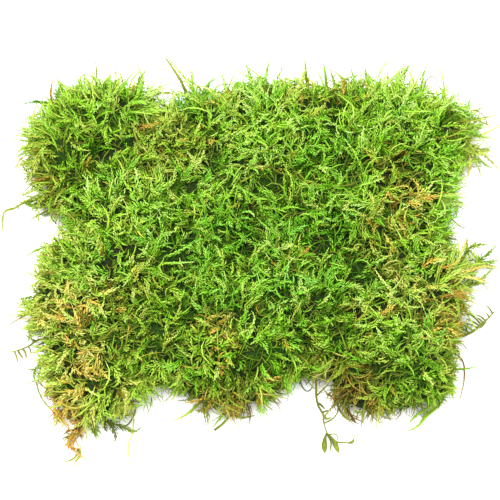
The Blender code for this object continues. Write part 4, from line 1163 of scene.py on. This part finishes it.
def peat_material(name, mottle, stops):
    """The matted core and the thatch's body: dark crumbs and short dead stems, in these colours."""
    material, n, shader = shader_sheet(name, 0.9, 0.15)
    flecks, patches, ribs = n.add("ShaderNodeGroup", {"node_tree": mottle}).outputs[:3]
    mixed = n.math("MULTIPLY_ADD", patches, 0.5, n.math("MULTIPLY", flecks, 0.5))
    n.feed(shader, "Base Color", ramp(n, mixed, stops))
    n.feed(shader, "Normal", bump(n, ribs, 0.8, 1.2 * MM))
    return material


@functools.cache
def moss_materials():
    """All the clump's materials, made once."""
    colours, mottle = bpy.context.scene.moss_colours, mottle_group()
    peat, deep, strand = colours.peat, colours.deep, colours.strand
    shaded = [0.25 * (a + b) for a, b in zip(peat, deep)]
    # The core's near-black and dark green stops are partly painted shade deep in the gaps, partly the peat's
    # own dark colour.
    core_stops = [(0.35, darker(peat, 0.3)), (0.5, shaded), (0.62, darker(deep, 0.6)),
                  (0.8, darker(strand, 0.3))]
    thatch_stops = [(0.3, darker(peat, 0.3)), (0.5, peat), (0.8, strand)]
    return {
        "living_moss": leaf_material(colours, mottle),
        "dead_stem": stem_material("dead_stem", colours, mottle, strand, colours.straw),
        "matted_core": peat_material("matted_core", mottle, core_stops),
        "thatch_body": peat_material("thatch_body", mottle, thatch_stops),
    }


def leaf_object(material):
    """One side leaf, a unit long: a closed sliver, widest near its middle, bent towards the shoot's tip."""
    points = [(0, -0.1, 0), (-1, 0.4, 0.46), (1, 0.4, 0.46), (0, -0.6, 0.52), (0, 1.5, 1)]
    faces = [(0, 2, 1), (0, 3, 2), (0, 1, 3), (1, 2, 4), (2, 3, 4), (3, 1, 4)]
    mesh = mesh_from("side_leaf", points, faces)
    layer = mesh.attributes.new("leaf_t", "FLOAT", "POINT")
    layer.data.foreach_set("value", [0.0, 0.4, 0.4, 0.4, 1.0])
    mesh.materials.append(material)
    return bpy.data.objects.new("side_leaf", mesh)


# --- operators: one for each piece or group of like pieces ---


class MOSS_OT_core(bpy.types.Operator):
    """Makes the dark matted core that the green shoots grow on"""

    bl_idname = "moss.core"
    bl_label = "Matted Core"

    def execute(self, context):
        core = Core(context.scene.moss_sizes)
        points, faces = core.closed()
        mesh = mesh_from("matted_core", points * MM, faces)
        mesh.shade_smooth()
        mesh.materials.append(moss_materials()["matted_core"])
        finish_piece("matted_core", mesh, "living_moss", "green_moss_mat")
        return {"FINISHED"}


LIVING = {"material": "living_moss", "slot": "living_moss", "node": "green_moss_mat"}
SHOOT_REGIONS = ["left", "middle_left", "middle", "middle_right", "right"]


class MOSS_OT_green_shoots(bpy.types.Operator):
    """Grows the leafy shoots of the living mat, in five regions from left to right"""

    bl_idname = "moss.green_shoots"
    bl_label = "Green Shoots"

    def execute(self, context):
        sizes = context.scene.moss_sizes
        roots, normals, rim, outward, chance = Core(sizes).sites(sizes.shoot_count, seed=31, edge_growth=0.9)
        count, plan = len(roots), roots[:, :2]
        headings = shoot_headings(roots, normals, rim, outward, chance, (5, 68))
        edge = edge_share(rim)
        clumps = 1 + (0.1 + 0.22 * edge) * waves(plan, size=13.0, seed=33)
        clumps *= 1 + edge * patch_sum(RIM_GROWTH, plan)
        lengths = sizes.shoot_length * chance.uniform(0.6, 1.25, count) * clumps * (1 - 0.1 * edge)
        lengths *= np.clip(0.6 + 0.05 * (roots[:, 2] - 4), 0.6, 1)
        droop = chance.uniform(-0.3, 1.2, count)
        curl = chance.normal(0, 1.1, count)
        paths = bending_paths(roots - normals * 1.5, headings, lengths, droop, curl)
        columns = shoot_tints(plan, chance) | {
            "girth": girths(sizes.stem_radius, chance.uniform(0.8, 1.2, count), (0, 1.0), (1, 0.35)),
            "reach": sizes.leaf_length * MM * chance.uniform(0.6, 1.2, count),
            "turning": np.where(chance.random(count) < 0.7, FEATHER, ROUND),
            "roll": chance.normal(0, 0.5, count),
            "lean": np.full(count, 0.62),
            "painted_light": painted_light_of(paths, rim),
        }
        material = moss_materials()["living_moss"]
        tree, leaf = leafy_tree(), leaf_object(material)
        inputs = {"Leaf": leaf, "Leaf Spacing": sizes.leaf_spacing * MM, "Stem Rings": 6, "Seed": 5,
                  "Leaf Half Width": sizes.leaf_width * MM, "Material": material}
        from_left = np.argsort(roots[:, 0])
        for region, chosen in zip(SHOOT_REGIONS, np.array_split(from_left, len(SHOOT_REGIONS))):
            carried = {name: values[chosen] for name, values in columns.items()}
            mesh = grown(path_mesh("paths", paths[chosen], carried), tree, inputs)
            finish_piece(f"green_shoots_{region}", mesh, "living_moss", "green_moss_mat")
        bpy.data.objects.remove(leaf)
        return {"FINISHED"}


class MOSS_OT_young_blades(bpy.types.Operator):
    """Grows the bare blades and young tips between the leafy shoots"""

    bl_idname = "moss.young_blades"
    bl_label = "Young Blades"

    def execute(self, context):
        sizes = context.scene.moss_sizes
        roots, normals, rim, outward, chance = Core(sizes).sites(sizes.blade_count, seed=57, edge_growth=0.7)
        count, plan = len(roots), roots[:, :2]
        headings = shoot_headings(roots, normals, rim, outward, chance, (15, 85))
        long_ones = chance.random(count) < 0.08
        lengths = sizes.shoot_length * np.where(long_ones, 1.4, chance.uniform(0.4, 1.05, count))
        lengths *= np.clip(1 + edge_share(rim) * patch_sum(RIM_GROWTH, plan), 0.3, 1.5)
        droop = chance.uniform(-0.5, 1.5, count)
        curl = chance.normal(0, 1.1, count)
        paths = bending_paths(roots - normals * 0.5, headings, lengths, droop, curl)
        girth = girths(BLADE_RADIUS, chance.uniform(0.6, 1.25, count),
                       (0, 0.5), (0.25, 1.0), (0.6, 0.9), (1, 0.12))
        columns = {"girth": girth, "painted_light": painted_light_of(paths, rim), **shoot_tints(plan, chance, 0.2)}
        finish_strands("young_blades", paths, columns, rings=5, **LIVING)
        return {"FINISHED"}


class MOSS_OT_edge_hairs(bpy.types.Operator):
    """Grows the thin hairs and old stalks that stick out all round the torn edge"""

    bl_idname = "moss.edge_hairs"
    bl_label = "Edge Hairs"

    def execute(self, context):
        sizes = context.scene.moss_sizes
        roots, normals, rim, outward, chance = Core(sizes).sites(
            sizes.hair_count, seed=67, edge_growth=60.0, tufted=0.5)
        count, plan = len(roots), roots[:, :2]
        headings = shoot_headings(roots, normals, rim, outward, chance, (0, 70))
        lengths = sizes.shoot_length * chance.uniform(0.7, 1.45, count)
        lengths *= np.clip(1 + 0.7 * patch_sum(RIM_GROWTH, plan), 0.4, 1.4)
        droop = chance.uniform(-0.6, 1.6, count)
        curl = chance.normal(0, 1.3, count)
        paths = bending_paths(roots, headings, lengths, droop, curl)
        tints = shoot_tints(plan, chance)
        tints["tone"] = chance.uniform(0.1, 0.7, count)
        tints["dry"] = np.clip(tints["dry"] + chance.uniform(0, 0.6, count), 0, 1)
        tints["rust"] = np.where(chance.random(count) < 0.25, chance.uniform(0.4, 0.9, count), 0.0)
        girth = girths(HAIR_RADIUS, chance.uniform(0.75, 1.4, count), (0, 1.0), (0.7, 0.8), (1, 0.35))
        columns = {"girth": girth, "painted_light": painted_light_of(paths, rim), **tints}
        finish_strands("edge_hairs", paths, columns, rings=7, **LIVING)
        return {"FINISHED"}


class MOSS_OT_undergrowth(bpy.types.Operator):
    """Lays the older shoots and dead stems, dark green to brown, that fill the gaps between the shoots. Their
    darkness is partly painted shade down in the gaps.
    """

    bl_idname = "moss.undergrowth"
    bl_label = "Undergrowth"

    def execute(self, context):
        sizes = context.scene.moss_sizes
        roots, normals, rim, outward, chance = Core(sizes).sites(
            sizes.old_stems, seed=83, edge_growth=-0.4, tufted=-1.0)
        count, plan = len(roots), roots[:, :2]
        headings = shoot_headings(roots, normals * 0.3, rim, outward, chance, (-5, 25))
        shorter = 1 - 0.6 * edge_share(rim, OPEN_REACH)
        lengths = sizes.shoot_length * chance.uniform(0.4, 1.2, count) * shorter
        droop = chance.uniform(-0.2, 0.5, count)
        curl = chance.normal(0, 1.3, count)
        paths = bending_paths(roots + normals * 0.5, headings, lengths, droop, curl)
        tints = shoot_tints(plan, chance)
        # A low tone and little painted light: painted shade down in the gaps, as well as the older shoots'
        # darker green.
        tints["tone"] = np.clip(chance.uniform(-0.06, 0.32, count) + 0.3 * (tints["tone"] - 0.4), 0, 1)
        dead = chance.random(count) < 0.35
        tints["dry"] = np.where(dead, chance.uniform(0.4, 1.0, count), 0.5 * tints["dry"])
        girth = girths(OLD_STEM_RADIUS, chance.uniform(0.6, 1.2, count), (0, 0.8), (0.3, 1.0), (1, 0.3))
        columns = {"girth": girth, "painted_light": np.full(count, 0.2), **tints}
        finish_strands("undergrowth", paths, columns, rings=5, **LIVING)
        return {"FINISHED"}


class MOSS_OT_thatch(bpy.types.Operator):
    """Makes the brown thatch under the mat: its matted body, and the dead stems on its edge and underside"""

    bl_idname = "moss.thatch"
    bl_label = "Brown Thatch"

    def execute(self, context):
        sizes = context.scene.moss_sizes
        line = smooth_loop(inset_loop(Sheet(sizes).outline, THATCH_INSET), RING_SPACING)
        points, faces = self.body(line)
        mesh = mesh_from("thatch_body", points * MM, faces)
        mesh.materials.append(moss_materials()["thatch_body"])
        mesh.shade_smooth()
        finish_piece("thatch_body", mesh, "brown_thatch", "brown_thatch")

        chance = np.random.default_rng(77)
        fringe = self.fringe(line, sizes.thatch_strands // 2, chance)
        paths = np.concatenate([fringe, self.sole(line, sizes.thatch_strands, chance)])
        count = len(paths)
        columns = {"girth": girths(DEAD_STEM_RADIUS, chance.uniform(0.6, 1.1, count), (0, 1.0), (1, 0.4)),
                   "tone": chance.uniform(0.1, 0.9, count),
                   "rust": np.where(chance.random(count) < 0.15, 0.7, 0.0)}
        finish_strands("thatch_strands", paths, columns, rings=6, material="dead_stem", slot="brown_thatch",
                       node="brown_thatch")
        return {"FINISHED"}

    def body(self, line):
        """A low dome with a crumbly line round its upright edge, and an uneven underside."""
        inner = scattered_points(line, THATCH_SPACING, THATCH_MARGIN, random.Random(8))
        plan, faces = triangulate(line, inner)
        count, ring = len(plan), len(line)
        rim = nearest_on(line, plan)[0]
        share = np.clip(rim / THATCH_SHOULDER, 0, 1)
        top = THATCH_EDGE + THATCH_RISE * np.sqrt(1 - (1 - share) ** 2)
        floor = THATCH_FLOOR + 0.25 * (1 + waves(plan, size=9.0, seed=9)) * np.clip(rim / 4.0, 0, 1)
        bulging = line + waves(line, size=7.0, seed=14)[:, None] * THATCH_CRUMBS
        brow = np.column_stack([bulging, np.full(ring, THATCH_BROW)])
        points = np.concatenate([np.column_stack([plan, top]), np.column_stack([plan, floor]), brow])
        high = np.arange(ring)
        low, middle = count + high, 2 * count + high
        walls = []
        for lower, upper in ((low, middle), (middle, high)):
            beside, above = np.roll(lower, -1), np.roll(upper, -1)
            walls += [np.stack([lower, beside, above], 1), np.stack([lower, above, upper], 1)]
        return points, np.concatenate([faces, faces[:, ::-1] + count, *walls])

    def fringe(self, line, count, chance):
        """Paths of dead stems that stick out all round the edge."""
        at = chance.integers(0, len(line), count)
        share = chance.random(count)[:, None]
        foot = line[at] * (1 - share) + line[(at + 1) % len(line)] * share
        outward = nearest_on(line, foot)[1]
        roots = np.column_stack([foot - outward * 1.5, chance.uniform(0.7, 4.2, count)])
        flat = outward + chance.normal(0, 0.7, (count, 2))
        headings = np.column_stack([flat, chance.uniform(-0.25, 0.25, count)])
        lengths = chance.uniform(5, 13, count)
        droop = chance.uniform(-0.3, 0.6, count)
        return bending_paths(roots, headings, lengths, droop, chance.normal(0, 0.9, count), lowest=0.35)

    def sole(self, line, most, chance):
        """Paths of dead stems that lie under the body, this many at most."""
        spots = scattered_points(line, 5.3, 5.0, random.Random(12))[:most]
        count = len(spots)
        turn = chance.uniform(0, 2 * math.pi, count)
        roots = np.column_stack([spots, chance.uniform(0.35, 0.7, count)])
        headings = np.column_stack([np.cos(turn), np.sin(turn), np.zeros(count)])
        lengths = np.minimum(chance.uniform(10, 30, count), nearest_on(line, spots)[0] + 5.0)
        paths = bending_paths(roots, headings, lengths, np.zeros(count), chance.normal(0, 1.2, count))
        paths[:, :, 2] = roots[:, 2, None] + 0.15 * np.sin(paths[:, :, 0] * 0.9)
        return paths


class MOSS_OT_loose_shoots(bpy.types.Operator):
    """Makes the loose shoots, blades, stalks and hairs that stick out of the torn edge"""

    bl_idname = "moss.loose_shoots"
    bl_label = "Loose Shoots"

    def execute(self, context):
        sizes = context.scene.moss_sizes
        material = moss_materials()["living_moss"]
        tree, leaf = leafy_tree(), leaf_object(material)
        for number, (node, slot, spacing, twigs) in enumerate(LOOSE_SHOOTS):
            inputs = {"Leaf": leaf, "Leaf Spacing": spacing * MM, "Leaf Half Width": sizes.leaf_width * MM,
                      "Stem Rings": 18, "Stem Sides": 5, "Seed": 90 + number, "Material": material}
            mesh = grown(path_mesh("paths", *self.stems(twigs)), tree, inputs)
            finish_piece(node + "_moss", mesh, slot, node)
        bpy.data.objects.remove(leaf)
        return {"FINISHED"}

    def stems(self, twigs):
        """The twigs' paths, and what their points carry."""
        share = np.linspace(0, 1, TWIG_POINTS)
        paths = np.stack([smooth_route(stem["route"], TWIG_POINTS) for stem in twigs])
        columns = {"cool": np.full(len(twigs), 0.2), "painted_light": np.full(len(twigs), 0.4)}
        for i, name in enumerate(("tone", "dry", "rust")):
            columns[name] = np.array([stem["tint"][i] for stem in twigs])
        for name, key in (("turning", "fan"), ("roll", "roll"), ("lean", "lean")):
            columns[name] = np.array([stem[key] for stem in twigs], float)
        thickness = [stem["girth"] * np.interp(share, *(BUD if stem["bud"] else TAPER)) for stem in twigs]
        columns["girth"] = MM * np.stack(thickness)
        columns["reach"] = MM * np.array([stem["reach"] for stem in twigs], float)
        return paths, columns


# The stage, in metres: the lights' names and places, and their shares of the key strength.
STUDIO_LIGHTS = [("key", (-0.3, 0.1, 1.0), 1.0), ("fill", (0.5, -0.5, 0.9), 0.35)]
LIGHT_WIDTH = 0.8
FLOOR_HALF_WIDTH = 20
FLOOR_HEIGHT = -0.0002  # just clear of what rests on the ground
FLOOR_COLOUR = (0.97, 0.97, 0.965, 1.0)
CAMERA_TARGET = (0.0, -0.00216, 0.0)


class MOSS_OT_stage(bpy.types.Operator):
    """Sets up the pale floor, the soft studio light and the camera"""

    bl_idname = "moss.stage"
    bl_label = "Stage"

    def execute(self, context):
        scene, stage = context.scene, context.scene.moss_stage
        w = FLOOR_HALF_WIDTH
        corners = [(-w, -w, 0), (w, -w, 0), (w, w, 0), (-w, w, 0)]
        floor = new_object("floor", mesh_from("floor", corners, [(0, 1, 2, 3)]))
        floor.location.z = FLOOR_HEIGHT
        material, _, shader = shader_sheet("floor_white", 0.6, 0.2)
        shader.inputs["Base Color"].default_value = FLOOR_COLOUR
        floor.data.materials.append(material)

        scene.world = bpy.data.worlds.new("studio")
        scene.world.use_nodes = True
        background = scene.world.node_tree.nodes["Background"]
        background.inputs["Color"].default_value = (1.0, 1.0, 1.0, 1.0)
        background.inputs["Strength"].default_value = stage.sky
        for name, place, share in STUDIO_LIGHTS:
            self.area_light(name, place, share * stage.key)

        camera = bpy.data.objects.new("camera", bpy.data.cameras.new("camera"))
        scene.collection.objects.link(camera)
        camera.data.lens = stage.lens
        camera.data.clip_start = 0.01
        lean = stage.camera_height
        toward = Vector((0, -math.cos(lean), math.sin(lean)))
        camera.location = Vector(CAMERA_TARGET) + stage.camera_distance * toward
        camera.rotation_euler = (math.pi / 2 - lean, 0, 0)
        scene.camera = camera
        scene.view_settings.view_transform = "Standard"
        scene.view_settings.look = "None"
        return {"FINISHED"}

    def area_light(self, name, place, power):
        light = bpy.data.objects.new(name, bpy.data.lights.new(name, "AREA"))
        bpy.context.scene.collection.objects.link(light)
        light.data.size = LIGHT_WIDTH
        light.data.energy = power
        light.location = place
        light.rotation_euler = Vector(place).to_track_quat("Z", "Y").to_euler()


class MOSS_PT_sidebar(bpy.types.Panel):
    """The moss clump's settings and steps"""

    bl_idname = "MOSS_PT_sidebar"
    bl_label = "Moss Clump"
    bl_space_type = "VIEW_3D"
    bl_region_type = "UI"
    bl_category = "Moss"

    def draw(self, context):
        for group in (context.scene.moss_sizes, context.scene.moss_colours, context.scene.moss_stage):
            box = self.layout.box()
            for name in group.__annotations__:
                box.prop(group, name)
        for step in STEPS:
            self.layout.operator(step.bl_idname)


GROUPS = {"moss_sizes": MossSheetSizes, "moss_colours": MossColours, "moss_stage": MossStageSettings}
STEPS = [MOSS_OT_core, MOSS_OT_undergrowth, MOSS_OT_green_shoots, MOSS_OT_young_blades, MOSS_OT_edge_hairs,
         MOSS_OT_thatch, MOSS_OT_loose_shoots, MOSS_OT_stage]


def register():
    for group in (*GROUPS.values(), *STEPS, MOSS_PT_sidebar):
        bpy.utils.register_class(group)
    for name, group in GROUPS.items():
        setattr(bpy.types.Scene, name, bpy.props.PointerProperty(type=group))


def unregister():
    for name in GROUPS:
        delattr(bpy.types.Scene, name)
    for group in (MOSS_PT_sidebar, *reversed(STEPS), *reversed(GROUPS.values())):
        bpy.utils.unregister_class(group)


def main():
    register()
    bpy.ops.moss.core()
    bpy.ops.moss.undergrowth()
    bpy.ops.moss.green_shoots()
    bpy.ops.moss.young_blades()
    bpy.ops.moss.edge_hairs()
    bpy.ops.moss.thatch()
    bpy.ops.moss.loose_shoots()
    bpy.ops.moss.stage()


if __name__ == "__main__":
    main()
